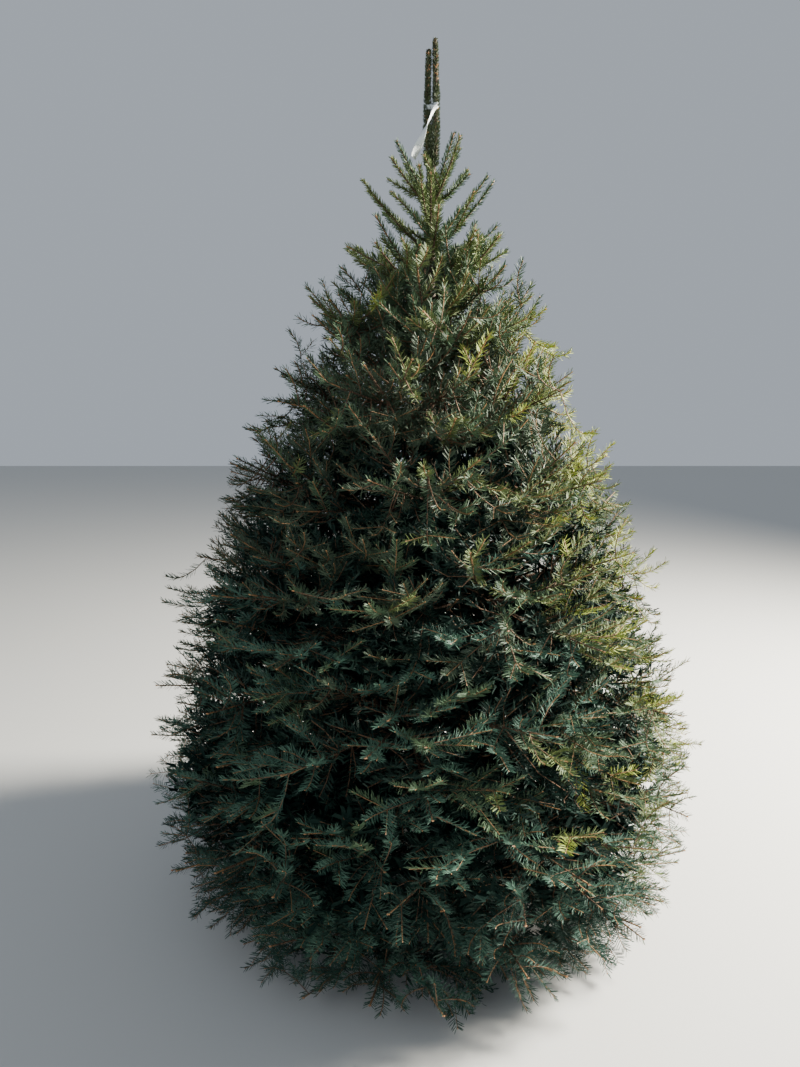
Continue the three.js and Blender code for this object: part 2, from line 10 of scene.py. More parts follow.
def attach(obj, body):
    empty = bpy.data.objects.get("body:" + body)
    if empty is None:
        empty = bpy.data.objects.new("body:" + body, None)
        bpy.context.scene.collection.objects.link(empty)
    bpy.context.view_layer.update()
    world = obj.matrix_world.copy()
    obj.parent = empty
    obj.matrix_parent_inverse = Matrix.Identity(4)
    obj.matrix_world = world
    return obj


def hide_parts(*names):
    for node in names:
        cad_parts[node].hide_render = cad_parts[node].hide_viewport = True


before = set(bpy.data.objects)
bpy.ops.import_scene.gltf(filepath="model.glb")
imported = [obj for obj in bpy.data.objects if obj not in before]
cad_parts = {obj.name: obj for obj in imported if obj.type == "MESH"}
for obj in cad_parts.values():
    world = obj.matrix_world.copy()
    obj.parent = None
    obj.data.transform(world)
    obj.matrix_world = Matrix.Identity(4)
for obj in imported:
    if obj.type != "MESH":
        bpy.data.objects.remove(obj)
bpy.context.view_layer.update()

# Camera
# A phone's wide lens held at a standing eye height, 2.5 m from the trunk and tipped down a little,
# with the trunk just right of the middle of the frame.
EYE_HEIGHT = 1.6
EYE_DISTANCE = 2.52
EYE_LEFT_OF_TRUNK = 0.0915
EYE_TIP_DOWN = math.radians(9.08)
FILM_WIDTH = 36.0
LENS_LENGTH = 25.98

camera_data = bpy.data.cameras.new("camera")
camera_data.sensor_width = FILM_WIDTH
camera_data.lens = LENS_LENGTH
camera = bpy.data.objects.new("camera", camera_data)
camera.location = (-EYE_LEFT_OF_TRUNK, -EYE_DISTANCE, EYE_HEIGHT)
camera.rotation_euler = (math.radians(90) - EYE_TIP_DOWN, 0, 0)
bpy.context.collection.objects.link(camera)
bpy.context.scene.camera = camera

# Trunk
# One straight stem with a lobed root flare, in thin grey-brown bark that has broken into small
# upright scales. It stands on its flat cut, which is fixed to the ground.
FORK_HEIGHT = 2.33
TRUNK_RADIUS = 0.043
TRUNK_TOP_RADIUS = 0.0135
TRUNK_TAPER = 0.95
TRUNK_LEAN = 0.005
TRUNK_RINGS = 150
TRUNK_SIDES = 30
RING_CROWDING = 1.15
ROOT_FLARE = 0.019
ROOT_FLARE_HEIGHT = 0.075
ROOT_LOBES = 5
ROOT_LOBE_DEPTH = 0.14
BARK_RELIEF = 0.0022
BARK_GRAIN_ROUND = 2.6
BARK_GRAIN_UP = 34
BARK_INSET = 0.001
RELIEF_FADE = 8
TRUNK_CRACK = (0.035, 0.026, 0.02)
TRUNK_SCALE = (0.26, 0.19, 0.14)


def mix(low, high, share):
    return low + (high - low) * share


def clipped(share):
    return min(1.0, max(0.0, share))


def trunk_radius(z):
    taper = mix(TRUNK_RADIUS, TRUNK_TOP_RADIUS, (max(0.0, z) / FORK_HEIGHT) ** TRUNK_TAPER)
    return taper + ROOT_FLARE * math.exp(-z / ROOT_FLARE_HEIGHT)


def trunk_axis(z):
    return TRUNK_LEAN * (z / FORK_HEIGHT) ** 2


def mesh_piece(name, vertices, faces, material, smooth):
    """An object from arrays of corners and of triangles, or of quads, riding on the tree."""
    mesh = bpy.data.meshes.new(name)
    corners = faces.shape[1]
    mesh.vertices.add(len(vertices))
    mesh.vertices.foreach_set("co", np.asarray(vertices, dtype=np.float32).ravel())
    mesh.loops.add(faces.size)
    mesh.loops.foreach_set("vertex_index", np.asarray(faces, dtype=np.int32).ravel())
    mesh.polygons.add(len(faces))
    mesh.polygons.foreach_set("loop_start", np.arange(0, faces.size, corners, dtype=np.int32))
    mesh.polygons.foreach_set("use_smooth", np.full(len(faces), smooth))
    mesh.update(calc_edges=True)
    mesh.validate()
    mesh.materials.append(material)
    piece = bpy.data.objects.new(name, mesh)
    bpy.context.collection.objects.link(piece)
    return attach(piece, "root")


def new_material(name):
    material = bpy.data.materials.new(name)
    material.use_nodes = True
    return material, material.node_tree, material.node_tree.nodes["Principled BSDF"]


def wire(tree, *wires):
    """Links between shading nodes: from a node's output to another's input."""
    for source, output, target, entry in wires:
        tree.links.new(source.outputs[output], target.inputs[entry])


def bark_group():
    """Upright cracked scales: a colour between the cracks' and the scales', and a normal."""
    group = bpy.data.node_groups.new("bark_scales", "ShaderNodeTree")
    for way, name, kind in (
        ("INPUT", "Crack", "NodeSocketColor"),
        ("INPUT", "Scale", "NodeSocketColor"),
        ("INPUT", "Fineness", "NodeSocketFloat"),
        ("INPUT", "Relief", "NodeSocketFloat"),
        ("OUTPUT", "Color", "NodeSocketColor"),
        ("OUTPUT", "Roughness", "NodeSocketFloat"),
        ("OUTPUT", "Normal", "NodeSocketVector"),
    ):
        group.interface.new_socket(name, in_out=way, socket_type=kind)
    place, stretch, cells, grain, edges, weathered, colour, rough, bump = (
        group.nodes.new("ShaderNode" + kind)
        for kind in "TexCoord Mapping TexVoronoi TexNoise MapRange Math Mix MapRange Bump".split()
    )
    entry, leave = group.nodes.new("NodeGroupInput"), group.nodes.new("NodeGroupOutput")
    stretch.inputs["Scale"].default_value = (1.0, 1.0, 0.4)
    cells.feature = "DISTANCE_TO_EDGE"
    grain.inputs["Detail"].default_value = 6.0
    edges.inputs["From Max"].default_value = 0.22
    weathered.operation = "MULTIPLY"
    colour.data_type = "RGBA"
    rough.inputs["To Min"].default_value = 0.95
    rough.inputs["To Max"].default_value = 0.72
    bump.inputs["Distance"].default_value = 0.003
    wire(
        group,
        (place, "Object", stretch, "Vector"),
        (stretch, "Vector", cells, "Vector"),
        (stretch, "Vector", grain, "Vector"),
        (entry, "Fineness", cells, "Scale"),
        (entry, "Fineness", grain, "Scale"),
        (cells, "Distance", edges, "Value"),
        (edges, "Result", weathered, 0),
        (grain, "Fac", weathered, 1),
        (weathered, "Value", colour, "Factor"),
        (entry, "Crack", colour, 6),
        (entry, "Scale", colour, 7),
        (weathered, "Value", rough, "Value"),
        (weathered, "Value", bump, "Height"),
        (entry, "Relief", bump, "Strength"),
        (colour, 2, leave, "Color"),
        (rough, "Result", leave, "Roughness"),
        (bump, "Normal", leave, "Normal"),
    )
    return group


BARK_SCALES = bark_group()


def bark_material(name, crack, scale, fineness, relief):
    material, tree, shader = new_material(name)
    scales = tree.nodes.new("ShaderNodeGroup")
    scales.node_tree = BARK_SCALES
    scales.inputs["Crack"].default_value = (*crack, 1)
    scales.inputs["Scale"].default_value = (*scale, 1)
    scales.inputs["Fineness"].default_value = fineness
    scales.inputs["Relief"].default_value = relief
    wire(tree, *((scales, key, shader, key) for key in ("Roughness", "Normal")))
    wire(tree, (scales, "Color", shader, "Base Color"))
    return material


def trunk_mesh(rings, sides):
    """The stem's skin in rings, with the bark's relief, closed by a flat cap at each end."""
    vertices = []
    for ring in range(rings + 1):
        z = FORK_HEIGHT * (ring / rings) ** RING_CROWDING
        fade = min(1.0, (FORK_HEIGHT - z) * RELIEF_FADE)
        foot = math.exp(-z / ROOT_FLARE_HEIGHT)
        for side in range(sides):
            turn = 2 * math.pi * side / sides
            lobe = 1 + ROOT_LOBE_DEPTH * math.cos(ROOT_LOBES * turn) * foot
            across, back = math.cos(turn) * BARK_GRAIN_ROUND, math.sin(turn) * BARK_GRAIN_ROUND
            here = (across, back, z * BARK_GRAIN_UP)
            relief = BARK_RELIEF * noise.fractal(here, 0.7, 2.2, 3) * fade
            radius = trunk_radius(z) * lobe + relief - BARK_INSET
            vertices.append((trunk_axis(z) + radius * math.cos(turn), radius * math.sin(turn), z))
    vertices.append((0, 0, 0))
    vertices.append((trunk_axis(FORK_HEIGHT), 0, FORK_HEIGHT))
    foot_centre, top_centre = len(vertices) - 2, len(vertices) - 1
    faces = []
    for side in range(sides):
        after = (side + 1) % sides
        for ring in range(rings):
            low, high = ring * sides, (ring + 1) * sides
            faces.append((low + side, low + after, high + after))
            faces.append((low + side, high + after, high + side))
        faces.append((foot_centre, after, side))
        faces.append((top_centre, rings * sides + side, rings * sides + after))
    return np.array(vertices), np.array(faces)


trunk_bark = bark_material("trunk_bark", TRUNK_CRACK, TRUNK_SCALE, fineness=75.0, relief=0.9)
trunk = mesh_piece("trunk_with_bark", *trunk_mesh(TRUNK_RINGS, TRUNK_SIDES), trunk_bark, True)
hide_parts("trunk")

# Boughs
# Woody limbs in whorls on the trunk, the oldest lowest, with weaker limbs between the whorls.
# The rule that shaped the solids places every bough and its main side branches, draw for draw.
# They are one living piece with the trunk. Pairs of values are for dense whorls and open ones.
CROWN_RADIUS = 0.905
WIDEST_HEIGHT = 0.45
CROWN_TOP = 2.53
CROWN_TAPER = 1.5
SKIRT_CURVE = 0.9
CROWN_LOPSIDE = 0.05
LOPSIDE_TOP = 2.4
LOWEST_FOLIAGE = 0.024
WHORL_HEIGHTS = (0.205, 0.47, 0.745, 1.02, 1.28, 1.52, 1.735, 1.925, 2.085, 2.225)
WHORL_BOUGHS = (5, 5, 5, 5, 5, 4, 4, 4, 4, 4)
FIRST_WHORL_TURN = -28
WHORL_TURN = 37
LOWEST_ANGLE = -6
HIGHEST_ANGLE = 45
ANGLE_CURVE = 1.7
BOUGH_SWEEP = 11
FIRST_OPEN_WHORL = 6
HIGHEST_HANGING_WHORL = 3
BARE_WHORLS = 2
BARE_SHARE = 0.4
SPACE_MARGIN = 0.005
SPRAY_LIFT = 0.07
SPRAY_WIDTH = (0.24, 0.17)
WIDEST_SPRAY = 0.088
BOUGH_RADIUS = 0.0125
TOP_BOUGH_RADIUS = 0.0045
LEAST_BOUGH_TIP = 0.002
LEAST_BRANCH_TIP = 0.0017
LONGEST_RUN = 1.05
RUN_STEP = 0.002
TURN_SWAY = 5
HEIGHT_SWAY = 0.012
HEIGHT_LOOSENESS = (1, 1.8)
ANGLE_SWAY = 2
ANGLE_LOOSENESS = (1, 3.5)
SHORTEST_RUN = 0.95
OVERREACH = (0, 0.03)
BRANCH_REACH = (0.78, 0.6)
BRANCH_CLEARANCE = 0.06
SIDE_THICKNESS = 0.7
SHARE_SWAY = 0.02
SPREAD_SWAY = 5
RISE_SWAY = 4
ROLL_SWAY = 16
SHORTEST_BRANCH = 0.25
SHORTENING = 0.94
FIT_STATIONS = (0.55, 0.8, 1)
BETWEEN_LIMBS = (3, 2)
BETWEEN_THICKNESS = 0.62
FIRST_BRUSH_WHORL = 8
BRUSH_BOUGH_GROWTH = 0.04
BRUSH_BRANCH_GROWTH = 0.05
BRUSH_BETWEEN_GROWTH = 0.065
PULL_IN = 0.95
LOWEST_TWIG = 0.036
BOUGH_CRACK = (0.04, 0.024, 0.014)
BOUGH_SCALE = (0.24, 0.14, 0.085)
UP = Vector((0, 0, 1))
TOP_WHORL = len(WHORL_HEIGHTS) - 1


def seeded_stream(seed):
    """A repeatable stream: each call gives the next number, between the limits given."""
    state = (seed * 7919 + 12345) % 2**32

    def draw(low=0.0, high=1.0):
        nonlocal state
        state = (state * 1664525 + 1013904223) % 2**32
        return mix(low, high, state / 2**32)

    return draw


def crown_radius(z):
    """The crown's outer radius at a height: a rounded skirt below its widest, a cone above."""
    if z < WIDEST_HEIGHT:
        drop = min(1.0, (WIDEST_HEIGHT - z) / SKIRT_CURVE)
        return CROWN_RADIUS * math.sqrt(1 - drop * drop)
    climb = min(1.0, (z - WIDEST_HEIGHT) / (CROWN_TOP - WIDEST_HEIGHT))
    return CROWN_RADIUS * (1 - climb**CROWN_TAPER)


def lopside(z, azimuth):
    share = clipped(z / LOPSIDE_TOP)
    return 1 - CROWN_LOPSIDE * math.cos(azimuth) * math.sin(math.pi * share)


def depth_of(point):
    """How far inside the crown's outline a point is, measured level."""
    reach = crown_radius(point.z) * lopside(point.z, math.atan2(point.y, point.x))
    return reach - math.hypot(point.x, point.y)


def bough_angle(height):
    share = (height / WHORL_HEIGHTS[TOP_WHORL]) ** ANGLE_CURVE
    return mix(LOWEST_ANGLE, HIGHEST_ANGLE, share)


def outline_run(height, angle, step):
    """How far out a limb reaches, stepped inward along its rise to the crown's outline."""
    rise = math.tan(math.radians(angle))
    run = CROWN_RADIUS * LONGEST_RUN
    while run > crown_radius(height + run * rise):
        run -= step
    return run


WHORL_RUNS = [outline_run(height, bough_angle(height), RUN_STEP) for height in WHORL_HEIGHTS]


def bough_height(whorl, distance):
    angle = bough_angle(WHORL_HEIGHTS[whorl])
    start_slope = math.tan(math.radians(angle - BOUGH_SWEEP))
    end_slope = math.tan(math.radians(angle + BOUGH_SWEEP))
    bend = (end_slope - start_slope) / (2 * WHORL_RUNS[whorl])
    return WHORL_HEIGHTS[whorl] + distance * start_slope + distance * distance * bend


def parting_height(whorl, distance):
    """The surface half-way between two whorls' boughs."""
    if whorl < 0:
        return LOWEST_FOLIAGE
    if whorl >= TOP_WHORL:
        return CROWN_TOP
    return (bough_height(whorl, distance) + bough_height(whorl + 1, distance)) / 2


def frame_of(forward, roll=0.0):
    """Sideways and over-the-top directions for something that points forward."""
    level = Vector((0, 1, 0)) if abs(forward.z) > 0.995 else UP
    side = Quaternion(forward, roll) @ forward.cross(level).normalized()
    return side, side.cross(forward).normalized()


def turned(forward, side, over, spread, rise, hand):
    """A direction that leaves forward by a spread to one hand and by a rise, in degrees."""
    spread, rise = math.radians(spread), math.radians(rise)
    way = forward * math.cos(spread) * math.cos(rise)
    way += side * math.sin(spread) * math.cos(rise) * hand + over * math.sin(rise)
    return way.normalized()


class Limb:
    """A tapering limb along a curve of three points, with the roll of the fan that it bears."""

    def __init__(self, start, control, end, thick, thin, roll, whorl):
        self.start, self.control, self.end = start, control, end
        self.thick, self.thin, self.roll, self.whorl = thick, thin, roll, whorl
        chord = (end - start).length
        self.length = (2 * chord + (control - start).length + (end - control).length) / 3

    def point(self, share):
        rest = 1 - share
        return self.start * rest * rest + self.control * 2 * rest * share + self.end * share * share

    def ahead(self, share):
        way = (self.control - self.start) * (1 - share) + (self.end - self.control) * share
        return way.normalized()

    def thickness(self, share):
        return mix(self.thick, self.thin, share)


def outward_limb(height, azimuth, run, angle, thick, whorl):
    """A limb that leaves the trunk at an azimuth and sweeps upward as it goes out."""
    outward = Vector((math.cos(azimuth), math.sin(azimuth), 0))
    start = Vector((trunk_axis(height), 0, height))
    control = start + outward * (run / 2)
    control.z += run / 2 * math.tan(math.radians(angle - BOUGH_SWEEP))
    end = control + outward * (run / 2)
    end.z += run / 2 * math.tan(math.radians(angle + BOUGH_SWEEP))
    return Limb(start, control, end, thick, max(LEAST_BOUGH_TIP, thick * 0.2), 0.0, whorl)


def grow_bough(whorl, index):
    """One bough, the test of whether a point is in its mass's space, and its stream of draws."""
    draw = seeded_stream(whorl * 31 + index * 7 + 5)
    is_open = whorl >= FIRST_OPEN_WHORL
    count = WHORL_BOUGHS[whorl]
    middle = math.radians(FIRST_WHORL_TURN + whorl * WHORL_TURN + index * 360 / count)
    azimuth = middle + math.radians(draw(-TURN_SWAY, TURN_SWAY))
    height = WHORL_HEIGHTS[whorl] + draw(-HEIGHT_SWAY, HEIGHT_SWAY) * HEIGHT_LOOSENESS[is_open]
    angle = bough_angle(WHORL_HEIGHTS[whorl]) + draw(-ANGLE_SWAY, ANGLE_SWAY) * ANGLE_LOOSENESS[is_open]
    run = WHORL_RUNS[whorl] * draw(SHORTEST_RUN, 1) * lopside(height, azimuth)
    thick = mix(BOUGH_RADIUS, TOP_BOUGH_RADIUS, whorl / TOP_WHORL)
    half_sector = math.radians(180 / count)

    def holds(point):
        distance = math.hypot(point.x, point.y)
        turn = math.atan2(point.y, point.x)
        swing = abs(math.atan2(math.sin(turn - middle), math.cos(turn - middle)))
        if distance < trunk_radius(point.z) + SPACE_MARGIN or swing > half_sector:
            return False
        if distance * math.sin(half_sector - swing) < SPACE_MARGIN:
            return False
        if point.z < parting_height(whorl - 1, distance) + SPACE_MARGIN:
            return False
        if point.z > parting_height(whorl, distance) - SPACE_MARGIN:
            return False
        return depth_of(point) > -OVERREACH[is_open]

    return outward_limb(height, azimuth, run, angle, thick, whorl), holds, draw, run, middle


# Main side branches of a bough: hand, how many, where from and to along the bough, angles from
# it at the first and the last, rise and roll, in degrees.
DENSE_ROWS = (
    (1, 2, 0.36, 0.58, 50, 25, -5, 52),
    (-1, 2, 0.38, 0.6, 50, 25, 8, -46),
    (1, 1, 0.48, 0.48, 30, 30, 21, -12),
    (-1, 1, 0.48, 0.48, 20, 20, -18, 25),
)
OPEN_ROWS = (
    (1, 1, 0.4, 0.4, 48, 48, 4, 20),
    (-1, 1, 0.5, 0.5, 46, 46, 4, -30),
    (1, 1, 0.62, 0.62, 44, 44, 4, 60),
)


def grow_side_branches(bough, holds, draw, run):
    """The branches that carry a mass's large sprays, shortened until they fit its space."""
    whorl = bough.whorl
    is_open = whorl >= FIRST_OPEN_WHORL
    rows = OPEN_ROWS if is_open else DENSE_ROWS
    if not is_open and (whorl == 0 or whorl > HIGHEST_HANGING_WHORL):
        rows = rows[:-1]
    longest = run * BRANCH_REACH[is_open]
    first_share = BARE_SHARE + BRANCH_CLEARANCE if whorl < BARE_WHORLS else 0
    branches = []
    for hand, count, nearest, furthest, wide, narrow, row_rise, row_roll in rows:
        for station in range(count):
            step = station / (count - 1) if count > 1 else 0
            share = max(first_share, mix(nearest, furthest, step) + draw(-SHARE_SWAY, SHARE_SWAY))
            root = bough.point(share)
            spread = mix(wide, narrow, step) + draw(-SPREAD_SWAY, SPREAD_SWAY)
            rise = row_rise + draw(-RISE_SWAY, RISE_SWAY)
            forward = turned(bough.ahead(share), *frame_of(bough.ahead(share)), spread, rise, hand)
            roll = math.radians(row_roll + draw(-ROLL_SWAY, ROLL_SWAY))
            length = longest * draw(0.85, 1.15)
            across, above = frame_of(forward, roll)

            def fits():
                for part in FIT_STATIONS:
                    centre = root + forward * length * part + above * length * SPRAY_LIFT * part * part
                    reach = min(length * SPRAY_WIDTH[is_open], WIDEST_SPRAY) if part < 1 else 0
                    if not (holds(centre + across * reach) and holds(centre - across * reach)):
                        return False
                return True

            while length > longest * SHORTEST_BRANCH and not fits():
                length *= SHORTENING
            if length > longest * SHORTEST_BRANCH:
                tip = root + forward * length + above * length * SPRAY_LIFT
                middle = root + forward * length / 2
                thick = bough.thickness(share) * SIDE_THICKNESS
                thin = max(LEAST_BRANCH_TIP, thick * 0.25)
                branches.append(Limb(root, middle, tip, thick, thin, roll, whorl))
    return branches


def reach_outline(limb, room):
    """Pulls a limb's outer end in until it is inside the crown, and keeps it off the ground."""
    while limb.length > 0.02 and depth_of(limb.end) < room:
        control = limb.start + (limb.control - limb.start) * PULL_IN
        end = limb.start + (limb.end - limb.start) * PULL_IN
        limb = Limb(limb.start, control, end, limb.thick, limb.thin, limb.roll, limb.whorl)
    limb.control.z = max(limb.control.z, LOWEST_TWIG)
    limb.end.z = max(limb.end.z, LOWEST_TWIG)
    return limb


def lengthened(limb, more):
    """The same limb with its outer end grown on."""
    end = limb.end + limb.ahead(1) * more
    return Limb(limb.start, limb.control, end, limb.thick, limb.thin, limb.roll, limb.whorl)


def grow_between(whorl, middle, draw):
    """Weaker limbs from the trunk between one whorl and the next, spread over the sector."""
    top = WHORL_HEIGHTS[whorl + 1] if whorl < TOP_WHORL else FORK_HEIGHT - 0.01
    sector = 360 / WHORL_BOUGHS[whorl]
    count = BETWEEN_LIMBS[whorl >= FIRST_OPEN_WHORL]
    limbs = []
    for step in range(count):
        height = mix(WHORL_HEIGHTS[whorl], top, (step + draw(0.5, 1.1)) / (count + 0.6))
        swing = sector * ((step * 0.62 + draw(0.2, 0.5)) % 1 - 0.5)
        angle = bough_angle(height) + draw(-6, 9)
        run = outline_run(height, angle, RUN_STEP * 2) * draw(0.78, 0.98)
        thick = mix(BOUGH_RADIUS, TOP_BOUGH_RADIUS, whorl / TOP_WHORL) * BETWEEN_THICKNESS
        azimuth = middle + math.radians(swing)
        limb = outward_limb(height, azimuth, run * lopside(height, azimuth), angle, thick, whorl)
        limbs.append(reach_outline(limb, 0.0))
    return limbs


boughs, side_branches, between_limbs, mass_limbs = [], [], [], []
for whorl, count in enumerate(WHORL_BOUGHS):
    for index in range(count):
        bough, holds, draw, run, middle = grow_bough(whorl, index)
        branches = grow_side_branches(bough, holds, draw, run)
        weaker = grow_between(whorl, middle, draw)
        if whorl >= FIRST_BRUSH_WHORL:
            branches, weaker = branches[:1], weaker[:1]
            bough = lengthened(bough, BRUSH_BOUGH_GROWTH)
            branches = [lengthened(limb, BRUSH_BRANCH_GROWTH) for limb in branches]
            weaker = [lengthened(limb, BRUSH_BETWEEN_GROWTH) for limb in weaker]
        boughs.append(bough)
        side_branches += branches
        between_limbs += weaker
        mass_limbs.append(([bough] + branches + weaker, whorl, middle))
all_limbs = boughs + side_branches + between_limbs


def unit(vectors):
    return vectors / np.linalg.norm(vectors, axis=-1, keepdims=True)


def of_limbs(limbs, key):
    return np.array([getattr(limb, key) for limb in limbs])


def curves_at(limbs, shares):
    """Points, directions and frames along many limbs. Shares has one row for each limb."""
    path = (of_limbs(limbs, key) for key in ("start", "control", "end", "roll"))
    return frames_along(*path, shares)


def level_beside(ahead):
    """For each direction one that it doesn't run along, to measure its side from."""
    return np.where(np.abs(ahead[..., 2:]) > 0.995, (0.0, 1.0, 0.0), (0.0, 0.0, 1.0))


def frames_along(start, control, end, roll, shares):
    share = shares[..., None]
    rest = 1 - share
    start, control, end = start[:, None], control[:, None], end[:, None]
    points = start * rest**2 + control * 2 * rest * share + end * share**2
    ahead = unit((control - start) * rest + (end - control) * share)
    side = unit(np.cross(ahead, level_beside(ahead)))
    turn = roll[:, None, None]
    side = side * np.cos(turn) + np.cross(ahead, side) * np.sin(turn)
    return points, ahead, side, np.cross(side, ahead)


def tubes(points, side, over, radii, sides):
    """Corners and quads of round tubes, one for each row of points."""
    turns = np.arange(sides) * 2 * np.pi / sides
    ring = side[:, :, None] * np.cos(turns)[:, None] + over[:, :, None] * np.sin(turns)[:, None]
    corners = points[:, :, None] + ring * radii[:, :, None, None]
    rows, rings = points.shape[:2]
    index = np.arange(rows * rings * sides).reshape(rows, rings, sides)
    low, high = index[:, :-1], index[:, 1:]
    quads = np.stack([low, np.roll(low, -1, 2), np.roll(high, -1, 2), high], -1)
    return corners.reshape(-1, 3), quads.reshape(-1, 4)


def limb_tubes(limbs, first, last, sides, rings, knobs=0.0):
    """Tapering tubes along limbs from one share to another, with uneven bark if asked."""
    shares = np.linspace(first, last, rings + 1)[None].repeat(len(limbs), 0)
    points, _, side, over = curves_at(limbs, shares)
    thick, thin = of_limbs(limbs, "thick")[:, None], of_limbs(limbs, "thin")[:, None]
    radii = thick + (thin - thick) * shares
    if knobs:
        radii = radii * (1 + knobs * np.random.default_rng(3).standard_normal(radii.shape))
    return tubes(points, side, over, radii, sides)


def joined(parts):
    """Several sets of corners and faces as one."""
    corners, faces, base = [], [], 0
    for part_corners, part_faces in parts:
        corners.append(part_corners)
        faces.append(part_faces + base)
        base += len(part_corners)
    return np.concatenate(corners), np.concatenate(faces)


bough_bark = bark_material("bough_bark", BOUGH_CRACK, BOUGH_SCALE, fineness=160.0, relief=0.7)
limb_parts = [
    limb_tubes(boughs, 0.005, 0.97, sides=8, rings=22, knobs=0.05),
    limb_tubes(between_limbs, 0.005, 0.97, sides=5, rings=10, knobs=0.04),
    limb_tubes(side_branches, 0.0, 0.97, sides=5, rings=7, knobs=0.04),
]
bough_piece = mesh_piece("boughs_with_bark", *joined(limb_parts), bough_bark, True)
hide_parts(*(name for name in sorted(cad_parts) if name.startswith("bough_")))

# Twigs
# Each year a limb grows on from its end bud and puts out a pair of side twigs at the joint, with
# weaker ones along last year's length. The newest growth is straight and orange-brown. Every
# mass is carried out to the crown's outline by shoots set evenly over its sector and band.
YEAR_GROWTH = ((0.12, 0.095, 0.08), (0.125, 0.12, 0.09))
LONGEST_SIDE_TWIGS = (0.3, 0.17)
SHELL_DEPTH = 0.26
SHOOT_SPACING = 0.093
INNER_LAYERS = ((0.074, 0.1, 0.19), (0.09, 0.2, 0.34), (0.11, 0.34, 0.52), (0.11, 0.52, 0.7))
SKIRT_LAYERS = ((0.08, 0.1, 0.34), (0.075, 0.14, 0.3))
HALF_OPEN_LAYERS = {6: ((0.09, 0.12, 0.2), (0.1, 0.22, 0.36))}
SKIPPED_SHOOTS = 0.1
LONG_SHOOTS = 0.24
LONG_SHOOT_DEPTH = 0.05
SUNNY_GROWTH = 0.045
SUNNY_TURN = math.radians(-4)
SUNNY_SLOPE = 0.2
SUNNY_CLIMB = 14
HANGING = (-9, 6)
LIFTING = (-6, 30)
SPREADS = ((54, 70), (42, 56))
STRAIGHTENING = ((20, 36), (14, 24))
LEAST_TWIG = (0.0012, 0.0017)
THICKENING = 0.008
TWIG_ROOM = (0.014, -0.012)
TWIG_DEPTH = (0.16, 0.5)
SHOOT_TWIG_DEPTH = 0.22
SHOOT_SLOPES = (-0.08, 0.62)
SHOOT_CLIMBS = (-8, 40)
LOWEST_SHOOT = 0.04
SHORTEST_SHOOT = 0.08
LONGEST_SHOOT = 0.55
SHOOT_DEPTHS = (0.02, 0.12)
LONG_SHOOT_REACH = 0.036
HIGH_SHOOT_REACH = 0.085
LOWEST_SHOOTS = (0.1, 0.055, 0.13)
SPACING_LOOSENESS = (1, 1.35)
TIERS = {"lowest": (0, 1), "lower": (2, 3), "middle": (4, 5), "upper": (6, 7, 8, 9)}


def grow_side_twigs(parent, order, draw, deepest, shortest=0.06):
    """The side twigs of a limb or twig: pairs at the yearly joints and single ones between."""
    is_open = parent.whorl >= FIRST_OPEN_WHORL
    years = max(1, round(parent.length / YEAR_GROWTH[is_open][order]))
    growth = YEAR_GROWTH[is_open][order + 1]
    height = parent.point(0.7).z
    hanging = mix(*HANGING, min(1.0, height / 1.6))
    lifting = mix(*LIFTING, min(1.0, max(0.0, height - 0.2) / 1.2))
    least = LEAST_TWIG[is_open]
    twigs = []
    for year in range(1, years):
        age = years - year
        places = [(year / years, 1, 1.0), (year / years, -1, 1.0)]
        places.append(((year - draw(0.35, 0.6)) / years, 1 if draw() < 0.5 else -1, draw(0.5, 0.8)))
        for share, hand, strength in places:
            length = age * growth * strength * draw(0.85, 1.25)
            length = min(length, LONGEST_SIDE_TWIGS[order], (1 - share) * parent.length * 0.85 + 0.035)
            root = parent.point(share)
            if share < 0.12 or length < 0.03 or depth_of(root) > deepest:
                continue
            if is_open and draw() < SKIPPED_SHOOTS:
                continue
            ahead = parent.ahead(share)
            side, over = frame_of(ahead, parent.roll)
            rise = hanging + draw(-13, 13)
            spread = draw(*SPREADS[is_open])
            first = turned(ahead, side, over, spread, rise, hand)
            last = turned(ahead, side, over, spread - draw(*STRAIGHTENING[is_open]), rise, hand)
            last = (last + UP * math.tan(math.radians(lifting + draw(-6, 6)))).normalized()
            middle = root + first * length / 2
            grown = least + length * THICKENING
            thick = max(least, min(parent.thickness(share) * SIDE_THICKNESS, grown))
            roll = parent.roll * 0.6 + math.radians(draw(-20, 20))
            tip = middle + last * length / 2
            twig = Limb(root, middle, tip, thick, least * 0.85, roll, parent.whorl)
            twig = reach_outline(twig, TWIG_ROOM[is_open])
            if twig.length > shortest:
                twigs.append(twig)
    return twigs


